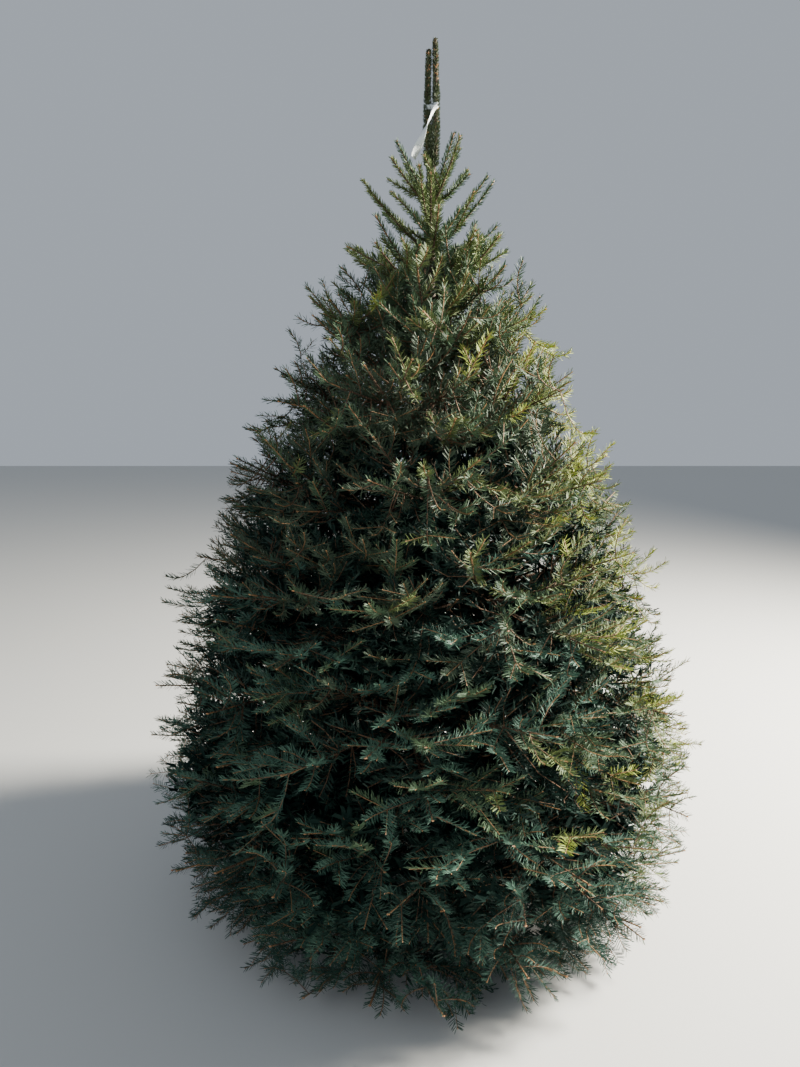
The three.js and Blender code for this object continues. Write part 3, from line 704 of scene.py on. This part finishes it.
def shoot_to(target, limbs, draw):
    """A shoot from the nearest limb that heads a target's way, arched like its neighbours."""
    best = None
    turn = math.atan2(target.y, target.x)
    sunny = max(0.0, math.cos(turn - SUNNY_TURN)) * min(1.0, target.z / 0.6)
    wanted = mix(*SHOOT_SLOPES, min(1.0, target.z / 1.9)) + SUNNY_SLOPE * sunny
    for limb in limbs:
        for step in range(3, 20):
            root = limb.point(step / 20)
            way = target - root
            along = way.length
            if not SHORTEST_SHOOT <= along <= LONGEST_SHOOT:
                continue
            if way.dot(limb.ahead(step / 20)) < 0.45 * along:
                continue
            cost = along * (1 + 2 * abs(way.z / along - wanted))
            if best is None or cost < best[0]:
                best = (cost, limb, step / 20, root)
    if best is None:
        return None
    _, limb, share, root = best
    along = (target - root).length
    way = (target - root) / along
    outward = turn + math.radians(draw(-18, 18))
    climb = mix(*SHOOT_CLIMBS, min(1.0, target.z / 1.15)) + SUNNY_CLIMB * sunny + draw(-8, 8)
    level, rise = math.cos(math.radians(climb)), math.sin(math.radians(climb))
    tip_way = Vector((math.cos(outward) * level, math.sin(outward) * level, rise))
    middle = mix(root + way * along * 0.5, target - tip_way * along * 0.5, 0.75)
    grown = 0.0018 + along * THICKENING
    thick = max(0.0016, min(limb.thickness(share) * SIDE_THICKNESS, grown))
    stout = mix(1.0, 1.35, clipped((target.z - 1.2) / 0.4))
    roll = math.radians(draw(-35, 35))
    return Limb(root, middle, target, thick * stout, 0.0013 * stout, roll, limb.whorl)


def fill_mass(whorl, middle, limbs, spacing, near, far, draw):
    """Shoots whose tips lie evenly over a mass's share of the crown's outline."""
    reach = WHORL_RUNS[whorl]
    low, high = parting_height(whorl - 1, reach), parting_height(whorl, reach)
    low = max(low, LOWEST_SHOOT)
    sector = 2 * math.pi / WHORL_BOUGHS[whorl]
    rows = max(1, round((high - low) * 1.1 / spacing))
    shoots = []
    for row in range(rows):
        z = mix(low, high, (row + 0.5) / rows)
        columns = max(1, round(sector * crown_radius(z) / spacing))
        for column in range(columns):
            height = max(LOWEST_SHOOT, z + draw(-0.5, 0.5) * spacing)
            turn = middle + sector * ((column + 0.5 * (row % 2) + draw(0, 0.7)) / columns - 0.5)
            depth = draw(near, far)
            if near < LONG_SHOOT_DEPTH and draw() < LONG_SHOOTS:
                depth -= LONG_SHOOT_REACH if height < 1.0 else HIGH_SHOOT_REACH
            if near > LONG_SHOOT_DEPTH and height < 0.22:
                depth += 0.02
            if 0.6 < height < 1.15:
                depth -= SUNNY_GROWTH * max(0.0, math.cos(turn - SUNNY_TURN)) ** 3
            if draw() < SKIPPED_SHOOTS:
                continue
            radius = crown_radius(height) * lopside(height, turn) - depth
            if radius < 0.05:
                continue
            target = Vector((math.cos(turn) * radius, math.sin(turn) * radius, height))
            shoot = shoot_to(target, limbs, draw)
            if shoot:
                shoots.append(shoot)
    return shoots


sprays, inner_sprays, core_sprays = [], [], []
for limbs, whorl, middle in mass_limbs:
    draw = seeded_stream(977 + whorl * 17 + int(math.degrees(middle)))
    is_open = whorl >= FIRST_OPEN_WHORL
    deepest = TWIG_DEPTH[is_open]
    if whorl < FIRST_BRUSH_WHORL:
        for limb in limbs:
            for twig in grow_side_twigs(limb, 0, draw, deepest):
                finer = grow_side_twigs(twig, 1, draw, deepest) if whorl <= FIRST_OPEN_WHORL else []
                sprays.append([twig] + finer)
    outer = []
    if whorl <= FIRST_OPEN_WHORL:
        outer.append((SHOOT_SPACING * SPACING_LOOSENESS[is_open], *SHOOT_DEPTHS))
    if whorl == 0:
        outer.append(LOWEST_SHOOTS)
    for layer in outer:
        for shoot in fill_mass(whorl, middle, limbs, *layer, draw):
            sprays.append([shoot] + grow_side_twigs(shoot, 1, draw, SHOOT_TWIG_DEPTH))
    layers = HALF_OPEN_LAYERS.get(whorl, ()) if is_open else INNER_LAYERS
    for spacing, near, far in layers + (SKIRT_LAYERS if whorl < BARE_WHORLS else ()):
        closer = 0.84 if 2 <= whorl < FIRST_OPEN_WHORL else 1
        for shoot in fill_mass(whorl, middle, limbs, spacing * closer, near, far, draw):
            needled = far < 0.2 or not 0.3 < shoot.end.z < 1.55
            layer = inner_sprays if needled else core_sprays
            layer.append([shoot] + grow_side_twigs(shoot, 1, draw, 0.8, 0.03))


def mottled_material(name, dark, light, roughness, fineness=420.0):
    """A surface that fine noise mottles between two colours."""
    material, tree, shader = new_material(name)
    mottle = tree.nodes.new("ShaderNodeTexNoise")
    mottle.inputs["Scale"].default_value = fineness
    blend = tree.nodes.new("ShaderNodeMix")
    blend.data_type = "RGBA"
    blend.inputs[6].default_value = (*dark, 1)
    blend.inputs[7].default_value = (*light, 1)
    wire(tree, (mottle, "Fac", blend, "Factor"), (blend, 2, shader, "Base Color"))
    shader.inputs["Roughness"].default_value = roughness
    return material


foliage_names = [name for name in sorted(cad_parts) if name.startswith("foliage_")]


def tier_nodes(tier):
    return [name for name in foliage_names if int(name.split("_")[1]) - 1 in TIERS[tier]]


old_twig_bark = mottled_material("old_twig_bark", (0.07, 0.04, 0.022), (0.2, 0.11, 0.06), 0.85)
young_twig_bark = mottled_material("young_twig_bark", (0.15, 0.075, 0.03), (0.31, 0.16, 0.065), 0.7)
for tier, whorls in TIERS.items():
    main = [spray[0] for spray in sprays if spray[0].whorl in whorls]
    inner = [spray[0] for spray in inner_sprays + core_sprays if spray[0].whorl in whorls]
    small = [twig for spray in sprays for twig in spray[1:] if twig.whorl in whorls]
    ends = [limb for limb in all_limbs if limb.whorl in whorls]
    old_parts = [limb_tubes(main, 0, 0.55, 3, 2)]
    if inner:
        old_parts.append(limb_tubes(inner, 0, 1, 3, 2))
    old = mesh_piece(f"older_twigs_{tier}", *joined(old_parts), old_twig_bark, True)
    young_parts = [limb_tubes(main, 0.53, 1, 3, 2), limb_tubes(small, 0, 1, 3, 1)]
    young_parts.append(limb_tubes(ends, 0.8, 1, 5, 3))
    young = mesh_piece(f"young_twigs_{tier}", *joined(young_parts), young_twig_bark, True)
    for piece in (old, young):
        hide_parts(*tier_nodes(tier))

# Needles
# Stiff leaves about 25 mm long, set singly round each twig and parted to its sides. Each is a
# folded blade with a slanting point, larger and darker deep in the crown, where the darkness is painted
# shade.
# The greens are painted light and shade, dealt out spray by spray: blue-green to near-black painted
# shade deep in the crown, on the shaded side and near the ground, and yellow-green painted sunlight on
# the sunny side.
NEEDLE_LENGTH = 0.0265
NEEDLE_WIDTH = 0.0025
NEEDLES_PER_METRE = 640
MOST_NEEDLES = 405000
BRUSH_SIZE = 0.7
SHADED_SIZE = 1.15
SHADED_THINNING = 0.42
CORE_SIZE = 1.7
CORE_THINNING = 0.19
BLADE_SIZES = (0.6, 1.0, 1.15, 1.7)
BLADE_BREADTHS = (0.75, 1.0, 2.0, 5.0)
BLADE_SHOULDER = 0.74
FEWEST_NEEDLES = 5
WHORL_CROWDING = (1.0, 1.4, 2.4)
PARTING_SWAY = 11
LEAN_SWAY = 5
LOWEST_NEEDLE = 0.001
# Where the painted light and shade fall on the greens: the sun's side, the depth of the hollows and the
# steps of light.
SUN_SIDE = math.radians(20)
HOLLOW_DEPTH = 0.19
OLIVE_FROM = 1.55
MIDDLE_LIGHT = 0.46
SUNWARD_LIGHT = 0.3
LIGHT_SWAY = 0.25
SHADE_STEPS = (0.3, 0.5, 0.68, 0.86)
TRUNK_TOP_FROM = 1.75
TRUNK_TOP_SIZE = 0.68
# Lit and shaded copies of one needle green, all painted light and shade: the first three are painted
# shade deep in the crown and low down, deep, dark and mid are the steps between, sunlit and pale are
# painted sunlight, and olive is the painted shade of the upper hollows and the tone of deep sprays
# higher up.
SHADES = {
    "core": (0.007, 0.02, 0.016),
    "shadow": (0.012, 0.034, 0.025),
    "shaded": (0.021, 0.058, 0.042),
    "deep": (0.05, 0.112, 0.08),
    "dark": (0.065, 0.113, 0.06),
    "mid": (0.12, 0.162, 0.055),
    "sunlit": (0.27, 0.325, 0.06),
    "pale": (0.44, 0.48, 0.16),
    "olive": (0.05, 0.078, 0.047),
}
CORE, SHADOW, SHADED, DEEP, DARK, MID, _, PALE, OLIVE = range(len(SHADES))


def spray_shade(point, draw):
    """Which green a spray has, as painted light and shade: darker the deeper it lies in the crown
    and near the ground, lighter on the sunny side and higher up, evened out at the top.
    """
    depth = depth_of(point)
    # Deep in the crown: painted shade.
    if depth > HOLLOW_DEPTH:
        return SHADOW if point.z < OLIVE_FROM else OLIVE
    sunward = math.cos(math.atan2(point.y, point.x) - SUN_SIDE)
    light = MIDDLE_LIGHT + SUNWARD_LIGHT * sunward + 0.18 * (point.z - 1.2)
    light += draw(-LIGHT_SWAY, LIGHT_SWAY) - 1.2 * max(0.0, depth)
    # Painted shade near the ground, less on the sunny side, and painted sunlight low on the sunny side.
    light -= (0.8 - 0.5 * max(0.0, sunward)) * max(0.0, 0.55 - point.z)
    light += 0.2 * max(0.0, sunward) * max(0.0, 1.0 - point.z)
    light = mix(light, 0.5 + draw(-0.16, 0.16), clipped((point.z - 1.6) / 0.4))
    # Low sprays that get little light take a darker painted shade.
    if point.z < 0.45 and light < 0.2:
        return SHADED
    shade = DEEP + sum(light > step for step in SHADE_STEPS)
    return OLIVE if shade == DEEP and point.z > 1.05 + draw(-0.3, 0.3) else shade


def needled_from(limb):
    """The share of a limb from which it still bears needles."""
    share = 0.0
    while share < 1 and depth_of(limb.point(share)) > SHELL_DEPTH:
        share += 0.04
    return share


carriers = []
draw = seeded_stream(4211)
for spray in sprays:
    shade = spray_shade(spray[0].point(0.7), draw)
    for order, twig in enumerate(spray):
        lighter = 1 if order and draw() < 0.25 and SHADOW < shade < PALE else 0
        carriers.append((twig, 0.04, shade + lighter, 1.0, 1.0))
# Inner layers get a very dark green painted shade low down and the olive painted shade higher up.
for spray in inner_sprays:
    shade = SHADOW if spray[0].end.z < 1.5 else OLIVE
    carriers += [(twig, 0.04, shade, SHADED_SIZE, SHADED_THINNING) for twig in spray]
# The deepest layers get the darkest, near-black painted shade.
for spray in core_sprays:
    carriers += [(twig, 0.04, CORE, CORE_SIZE, CORE_THINNING) for twig in spray]
# Limb ends take their painted light and shade like the sprays.
for limb in all_limbs:
    first = max(0.1, needled_from(limb))
    if first < 0.95:
        again, size = (2, BRUSH_SIZE) if limb.whorl >= FIRST_BRUSH_WHORL else (1, 1.0)
        carriers += [(limb, first, spray_shade(limb.point(0.9), draw), size, 1.0)] * again
foot = Vector((trunk_axis(TRUNK_TOP_FROM), 0, TRUNK_TOP_FROM))
fork = Vector((trunk_axis(FORK_HEIGHT), 0, FORK_HEIGHT))
foot_radius = trunk_radius(TRUNK_TOP_FROM)
trunk_top = Limb(foot, (foot + fork) / 2, fork, foot_radius, TRUNK_TOP_RADIUS, 0.0, TOP_WHORL)
for first, shade in ((0.0, DARK), (0.3, MID), (0.5, DARK)):
    carriers.append((trunk_top, first, shade, TRUNK_TOP_SIZE, 1.0))


def needle_blades(carriers, generator, lean_from=68, lean_to=42, parted=86):
    """Needles round many twigs at once: two folded faces each, with a slanting point."""
    limbs, first, _, size, density = zip(*carriers)
    first, size, density = np.array(first), np.array(size), np.array(density)
    crowded = np.array([WHORL_CROWDING[min(2, max(0, limb.whorl - 5))] for limb in limbs])
    counts = of_limbs(limbs, "length") * (1 - first) * NEEDLES_PER_METRE * THINNING * density * crowded
    counts = np.maximum(FEWEST_NEEDLES, counts).astype(int)
    which = np.repeat(np.arange(len(limbs)), counts)
    total = len(which)
    order = np.arange(total) - np.repeat(np.cumsum(counts) - counts, counts)
    step = (order + generator.random(total)) / counts[which]
    share = first[which] + (1 - first)[which] * step
    path = [of_limbs(limbs, key)[which] for key in ("start", "control", "end", "roll")]
    points, ahead, side, over = (part[:, 0] for part in frames_along(*path, share[:, None]))
    from_axis = np.linalg.norm(points[:, :2], axis=1)
    hand = np.where(order % 2, 1.0, -1.0)
    around = hand * np.radians(parted + PARTING_SWAY * generator.standard_normal(total))
    brush = (of_limbs(limbs, "whorl") >= FIRST_BRUSH_WHORL)[which]
    full = np.clip((points[:, 2] - 0.4) / 0.8, 0, 1)
    overhead = generator.random(total) < np.where(brush, 0.8, 0.3 + 0.4 * full)
    reach_round = np.where(brush, 180, 75 + 75 * full) * generator.uniform(-1, 1, total)
    around = np.where(overhead, np.radians(reach_round), around)[:, None]
    lean = lean_from + (lean_to - lean_from) * step**2 - 9 * full
    lean = np.radians(lean + LEAN_SWAY * generator.standard_normal(total))[:, None]
    radial = over * np.cos(around) + side * np.sin(around)
    out = ahead * np.cos(lean) + radial * np.sin(lean)
    outward = unit(points * (1, 1, 0) + np.array((0, 0, 0.5)) * from_axis[:, None])
    facing = unit(np.cross(out, outward) + 1e-6)
    swivel = np.where(from_axis < 0.3 * (points[:, 2] > 1.6), 90, 34)
    swivel = np.where(size[which] > 1.1, 65, swivel)
    turn = np.radians(swivel * generator.standard_normal(total))[:, None]
    across = facing * np.cos(turn) + np.cross(out, facing) * np.sin(turn)
    fold = np.cross(out, across)
    shorter = 1 - 0.25 * np.maximum(0, step - 0.8) * 5
    scale = size[which] * generator.uniform(0.86, 1.08, total) * shorter
    length = (NEEDLE_LENGTH * scale)[:, None]
    half = NEEDLE_WIDTH / 2 * np.interp(size[which], BLADE_SIZES, BLADE_BREADTHS)[:, None]
    thick, thin = of_limbs(limbs, "thick")[which], of_limbs(limbs, "thin")[which]
    seat = points + radial * (thick + (thin - thick) * share)[:, None] * 0.7
    corners = np.stack(
        [
            seat - across * half * 0.8,
            seat + across * half * 0.8,
            seat + out * length * BLADE_SHOULDER + across * half + fold * half * 0.4,
            seat + out * length - across * half * 0.3,
        ],
        1,
    )
    corners[..., 2] = np.maximum(corners[..., 2], LOWEST_NEEDLE)
    base = np.arange(total)[:, None, None] * 4
    faces = np.array(((0, 1, 2), (0, 2, 3))) + base
    return corners.reshape(-1, 3), faces.reshape(-1, 3)


total_length = 0
for limb, first, _, _, density in carriers:
    total_length += limb.length * (1 - first) * density
THINNING = min(1.0, MOST_NEEDLES / (total_length * NEEDLES_PER_METRE))


def needle_material(name, colour):
    material, _, shader = new_material(f"needles_{name}")
    shader.inputs["Base Color"].default_value = (*colour, 1)
    shader.inputs["Roughness"].default_value = 0.8 if name == "core" else 0.55
    shader.inputs["Specular IOR Level"].default_value = 0.08 if name == "core" else 0.22
    return material


# One material for each painted light and shade green.
lit_and_shaded_needle_greens = [needle_material(name, colour) for name, colour in SHADES.items()]
needle_draws = np.random.default_rng(58)
for tier, whorls in TIERS.items():
    for shade, shade_name in enumerate(SHADES):
        chosen = [carrier for carrier in carriers if carrier[2] == shade and carrier[0].whorl in whorls]
        if not chosen:
            continue
        blades = needle_blades(chosen, needle_draws)
        piece = mesh_piece(f"needles_{shade_name}_{tier}", *blades, lit_and_shaded_needle_greens[shade], False)
        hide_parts(*tier_nodes(tier))

# Buds
# Small pointed winter buds of brown overlapping scales, one at each twig's tip and a cluster at
# the tip of each limb.
BUD_LENGTH = 0.0052
BUD_RADIUS = 0.0021
BUD_FOOT = 0.3
BUD_BELLY = 0.15
TIP_CLUSTER = ((0, 1.15), (0.7, 0.8), (-0.7, 0.8))
TWIG_BUD_SIZE = 0.8
BUD_DEPTH = 0.16


def bud_mesh(places, sides):
    """Pointed buds, each widest near its foot, from a list of seats, directions and sizes."""
    seats, ways, sizes = (np.array(part) for part in zip(*places))
    side = unit(np.cross(ways, level_beside(ways)))
    over = np.cross(side, ways)
    turns = np.arange(sides) * 2 * np.pi / sides
    ring = side[:, None] * np.cos(turns)[:, None] + over[:, None] * np.sin(turns)[:, None]
    sizes = sizes[:, None]
    foot = seats - ways * sizes * BUD_LENGTH * BUD_FOOT
    point = seats + ways * sizes * BUD_LENGTH
    belly = seats + ways * sizes * BUD_LENGTH * BUD_BELLY
    ring = belly[:, None] + ring * sizes[..., None] * BUD_RADIUS
    corners = np.concatenate([foot[:, None], ring, point[:, None]], 1)
    index = np.arange(sides)
    after = (index + 1) % sides
    low = np.stack([np.zeros(sides, int), after + 1, index + 1], 1)
    high = np.stack([np.full(sides, sides + 1), index + 1, after + 1], 1)
    faces = np.concatenate([low, high]) + np.arange(len(seats))[:, None, None] * (sides + 2)
    return corners.reshape(-1, 3), faces.reshape(-1, 3)


bud_scales = mottled_material("bud_scales", (0.25, 0.085, 0.03), (0.6, 0.34, 0.16), 0.5)
for tier, whorls in TIERS.items():
    places = []
    for limb in all_limbs:
        if limb.whorl in whorls:
            tip, ahead = limb.end, limb.ahead(1)
            side, _ = frame_of(ahead)
            for lean, size in TIP_CLUSTER:
                places.append((tip + side * lean * 0.003, (ahead + side * lean).normalized(), size))
    for spray in sprays:
        for twig in spray:
            if twig.whorl in whorls and depth_of(twig.end) < BUD_DEPTH:
                places.append((twig.end, twig.ahead(1), TWIG_BUD_SIZE))
    buds = mesh_piece(f"buds_{tier}", *bud_mesh(places, 4), bud_scales, False)
    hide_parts(*tier_nodes(tier))

# Leaders
# Two upright shoots side by side at the trunk's top, in young red-brown bark. Their needles lie
# close and are shorter towards the tip, with single buds between them and a cluster at the end.
LEADER_TIPS = (2.677, 2.71)
LEADER_SPREAD = 0.0128
LEADER_RADIUS = 0.006
LEADER_TIP_RADIUS = 0.003
LEADER_FOOT = FORK_HEIGHT + 0.0003
LEADER_PARTING = (0.012, 0.048)
LEADER_STRAIGHT_TO = 0.62
LEADER_CLOSING = 0.25
LEADER_RINGS = 40
LEADER_CRACK = (0.03, 0.017, 0.01)
LEADER_SCALE = (0.14, 0.075, 0.04)
LEADER_GREEN = (0.06, 0.08, 0.042)
NEEDLED_STRETCHES = ((0.02, 0.36, 0.65, 6), (0.3, 0.64, 0.54, 5), (0.56, 0.98, 0.41, 6))
TIP_BUDS = ((0, 0, 2.0), (0.6, 0.5, 1.4), (2.7, 0.5, 1.4), (4.7, 0.5, 1.3))
SIDE_BUDS = 60


def leader_place(index, share):
    """The middle of a leader at a share of its height."""
    hand = -1 if index == 0 else 1
    z = mix(LEADER_FOOT, LEADER_TIPS[index], share)
    spread = clipped((z - LEADER_FOOT - LEADER_PARTING[0]) / LEADER_PARTING[1])
    spread = mix(LEADER_RADIUS + 0.001, LEADER_SPREAD, spread * spread * (3 - 2 * spread))
    closing = max(0.0, (share - LEADER_STRAIGHT_TO) / (1 - LEADER_STRAIGHT_TO))
    x = spread * (1 - LEADER_CLOSING * closing * closing)
    return Vector((trunk_axis(FORK_HEIGHT) + hand * x, index * 0.003 * closing, z))


leader_bark = bark_material("leader_bark", LEADER_CRACK, LEADER_SCALE, fineness=200.0, relief=1.0)
leader_green = needle_material("leader", LEADER_GREEN)
for index, name in enumerate(("leader_left", "leader_right")):
    rings = range(LEADER_RINGS + 1)
    middles = np.array([leader_place(index, ring / LEADER_RINGS * 0.99) for ring in rings])[None]
    sideways = np.tile((1.0, 0.0, 0.0), (1, LEADER_RINGS + 1, 1))
    back = np.tile((0.0, 1.0, 0.0), (1, LEADER_RINGS + 1, 1))
    radii = np.linspace(LEADER_RADIUS, LEADER_TIP_RADIUS + 0.0015, LEADER_RINGS + 1)[None]
    radii = radii * (1 + 0.07 * np.random.default_rng(index + 5).standard_normal(radii.shape))
    stem = mesh_piece(f"{name}_stem", *tubes(middles, sideways, back, radii, 8), leader_bark, True)
    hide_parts(name)
    stretches = []
    for first, last, size, again in NEEDLED_STRETCHES:
        start, end = leader_place(index, first), leader_place(index, last)
        thick = mix(LEADER_RADIUS, LEADER_TIP_RADIUS, first)
        stretch = Limb(start, (start + end) / 2, end, thick, thick * 0.85, 0.0, TOP_WHORL)
        stretches += [(stretch, 0.0, DARK, size, 1.0)] * again
    draws = np.random.default_rng(70 + index)
    blades = needle_blades(stretches, draws, lean_from=62, lean_to=58, parted=90)
    green = mesh_piece(f"{name}_needles", *blades, leader_green, False)
    places = []
    tip = leader_place(index, 1.0)
    for turn, lean, size in TIP_BUDS:
        way = Vector((math.cos(turn) * lean, math.sin(turn) * lean, 1)).normalized()
        seat = tip + Vector((way.x, way.y, 0)) * 0.006 - UP * (0.011 + 0.01 * (lean > 0))
        places.append((seat, way, size))
    bud_draw = seeded_stream(31 + index)
    for _ in range(SIDE_BUDS):
        share = bud_draw(0.3, 0.98)
        turn = bud_draw(0, 2 * math.pi)
        out = Vector((math.cos(turn), math.sin(turn), 0))
        seat = leader_place(index, share) + out * mix(LEADER_RADIUS, LEADER_TIP_RADIUS, share)
        places.append((seat, (out + UP * 0.5).normalized(), bud_draw(0.7, 1.5)))
    tip_buds = mesh_piece(f"{name}_buds", *bud_mesh(places, 6), bud_scales, False)
    for piece in (green, tip_buds):
        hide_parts(name)

# Marker tape
# A strip of thin white plastic film, wound once round both leaders, knotted in front, with one
# long twisted tail that hangs down to the left.
TAPE_HEIGHT = 2.512
TAPE_WIDTH = 0.014
TAPE_THICKNESS = 0.0005
TAPE_LOOP_RADIUS = 0.0052
TAPE_TAIL = 0.15
TAIL_WIDTHS = (0.011, 0.037)
TAIL_TWISTS = (10, 250)
TAIL_SWING = 0.068
WRINKLE = 0.0009
BAND_STEPS = 48
TAIL_STEPS = 40
KNOT_STEPS = 36
KNOT_WIDTH = 0.009


def ribbon(middles, crosses, widths, across, closed):
    """A thin strip along a path, wrinkled lengthways, with its edges closed."""
    middles, crosses = np.array(middles), unit(np.array(crosses))
    along = np.gradient(middles, axis=0)
    through = unit(np.cross(along, crosses))
    rows = len(middles)
    reach = np.linspace(-0.5, 0.5, across)
    wrinkle = WRINKLE * np.sin(reach[None] * 17 + np.arange(rows)[:, None] * 0.45)
    sheet = middles[:, None] + crosses[:, None] * (reach * np.array(widths)[:, None])[..., None]
    sheet = sheet + through[:, None] * wrinkle[..., None]
    half = through[:, None] * TAPE_THICKNESS / 2
    loop = np.concatenate([sheet + half, (sheet - half)[:, ::-1]], 1)
    index = np.arange(rows * across * 2).reshape(rows, across * 2)
    low, high = (index, np.roll(index, -1, 0)) if closed else (index[:-1], index[1:])
    quads = np.stack([low, np.roll(low, -1, 1), np.roll(high, -1, 1), high], -1).reshape(-1, 4)
    if not closed:
        for ring in (index[0], index[-1]):
            cap = [[ring[i], ring[i + 1], ring[-i - 2], ring[-i - 1]] for i in range(across - 1)]
            quads = np.concatenate([quads, cap])
    return loop.reshape(-1, 3), quads


tape_axis = trunk_axis(FORK_HEIGHT)
band_middles = []
for step in range(BAND_STEPS):
    turn = 2 * math.pi * step / BAND_STEPS
    end = LEADER_SPREAD if math.cos(turn) > 0 else -LEADER_SPREAD
    radius = TAPE_LOOP_RADIUS + 0.0006
    x, y = tape_axis + end + radius * math.cos(turn), radius * math.sin(turn)
    band_middles.append((x, y, TAPE_HEIGHT + 0.0015 * math.sin(turn)))
band_crosses = [(0.0, 0.0, 1.0)] * BAND_STEPS
band = ribbon(band_middles, band_crosses, [TAPE_WIDTH] * BAND_STEPS, 5, True)
tail_middles, tail_crosses, tail_widths = [], [], []
for step in range(TAIL_STEPS + 1):
    along = step / TAIL_STEPS
    twist = math.radians(mix(*TAIL_TWISTS, along))
    x = tape_axis + 0.012 - TAIL_SWING * along
    y = -TAPE_LOOP_RADIUS - 0.0085 - 0.016 * math.sin(along * math.pi)
    tail_middles.append((x, y, TAPE_HEIGHT - TAPE_TAIL * along))
    tail_crosses.append((math.cos(twist), math.sin(twist), 0.0))
    tail_widths.append(mix(*TAIL_WIDTHS, along * along))
tail = ribbon(tail_middles, tail_crosses, tail_widths, 7, False)
knot_middles, knot_crosses = [], []
for step in range(KNOT_STEPS):
    turn = 2 * math.pi * step / KNOT_STEPS
    x = tape_axis + 0.011 + 0.0055 * math.sin(turn * 2)
    y = -TAPE_LOOP_RADIUS - 0.006 - 0.0045 * math.cos(turn)
    knot_middles.append((x, y, TAPE_HEIGHT + 0.006 * math.sin(turn)))
    knot_crosses.append((math.cos(turn) * 0.8, 0.3, math.sin(turn) + 0.2))
knot = ribbon(knot_middles, knot_crosses, [KNOT_WIDTH] * KNOT_STEPS, 4, True)

film = mottled_material("white_film", (0.62, 0.68, 0.7), (0.86, 0.9, 0.9), 0.35, fineness=160.0)
film_nodes = film.node_tree.nodes
creases = film_nodes.new("ShaderNodeBump")
creases.inputs["Distance"].default_value = 0.001
creases.inputs["Strength"].default_value = 0.5
wire(
    film.node_tree,
    (film_nodes["Noise Texture"], "Fac", creases, "Height"),
    (creases, "Normal", film_nodes["Principled BSDF"], "Normal"),
)
tape = mesh_piece("marker_tape_film", *joined([band, tail, knot]), film, True)
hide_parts("marker_tape")

# Floor and lights
# A plain pale floor, a large warm light above and behind on the right, and a weak cool one in
# front on the left, with an even pale light all round.
FLOOR_SIZE = 40
LIGHT_AIM_HEIGHT = 1.2
KEY_PLACE = (4.6, 0.8, 3.8)
FILL_PLACE = (-3.5, -4.0, 3.6)
SKY_COLOUR = (0.72, 0.8, 0.9, 1)
SKY_STRENGTH = 0.55

bpy.ops.mesh.primitive_plane_add(size=FLOOR_SIZE, location=(0, 0, 0))
floor = bpy.context.object
floor.name = "floor"
floor_paint = mottled_material("floor_paint", (0.5, 0.5, 0.485), (0.54, 0.54, 0.53), 0.9, fineness=3.0)
floor.data.materials.append(floor_paint)


def studio_light(name, place, power, size, colour):
    data = bpy.data.lights.new(name, "AREA")
    data.energy, data.size, data.color = power, size, colour
    light = bpy.data.objects.new(name, data)
    light.location = place
    aim = Vector((0, 0, LIGHT_AIM_HEIGHT)) - light.location
    light.rotation_euler = aim.to_track_quat("-Z", "Y").to_euler()
    bpy.context.collection.objects.link(light)


studio_light("key_light", KEY_PLACE, power=2500, size=1.3, colour=(1.0, 0.95, 0.83))
studio_light("fill_light", FILL_PLACE, power=60, size=3.0, colour=(0.88, 0.94, 1.0))
world = bpy.data.worlds.new("studio")
world.use_nodes = True
background = world.node_tree.nodes["Background"]
background.inputs["Color"].default_value = SKY_COLOUR
background.inputs["Strength"].default_value = SKY_STRENGTH
bpy.context.scene.world = world
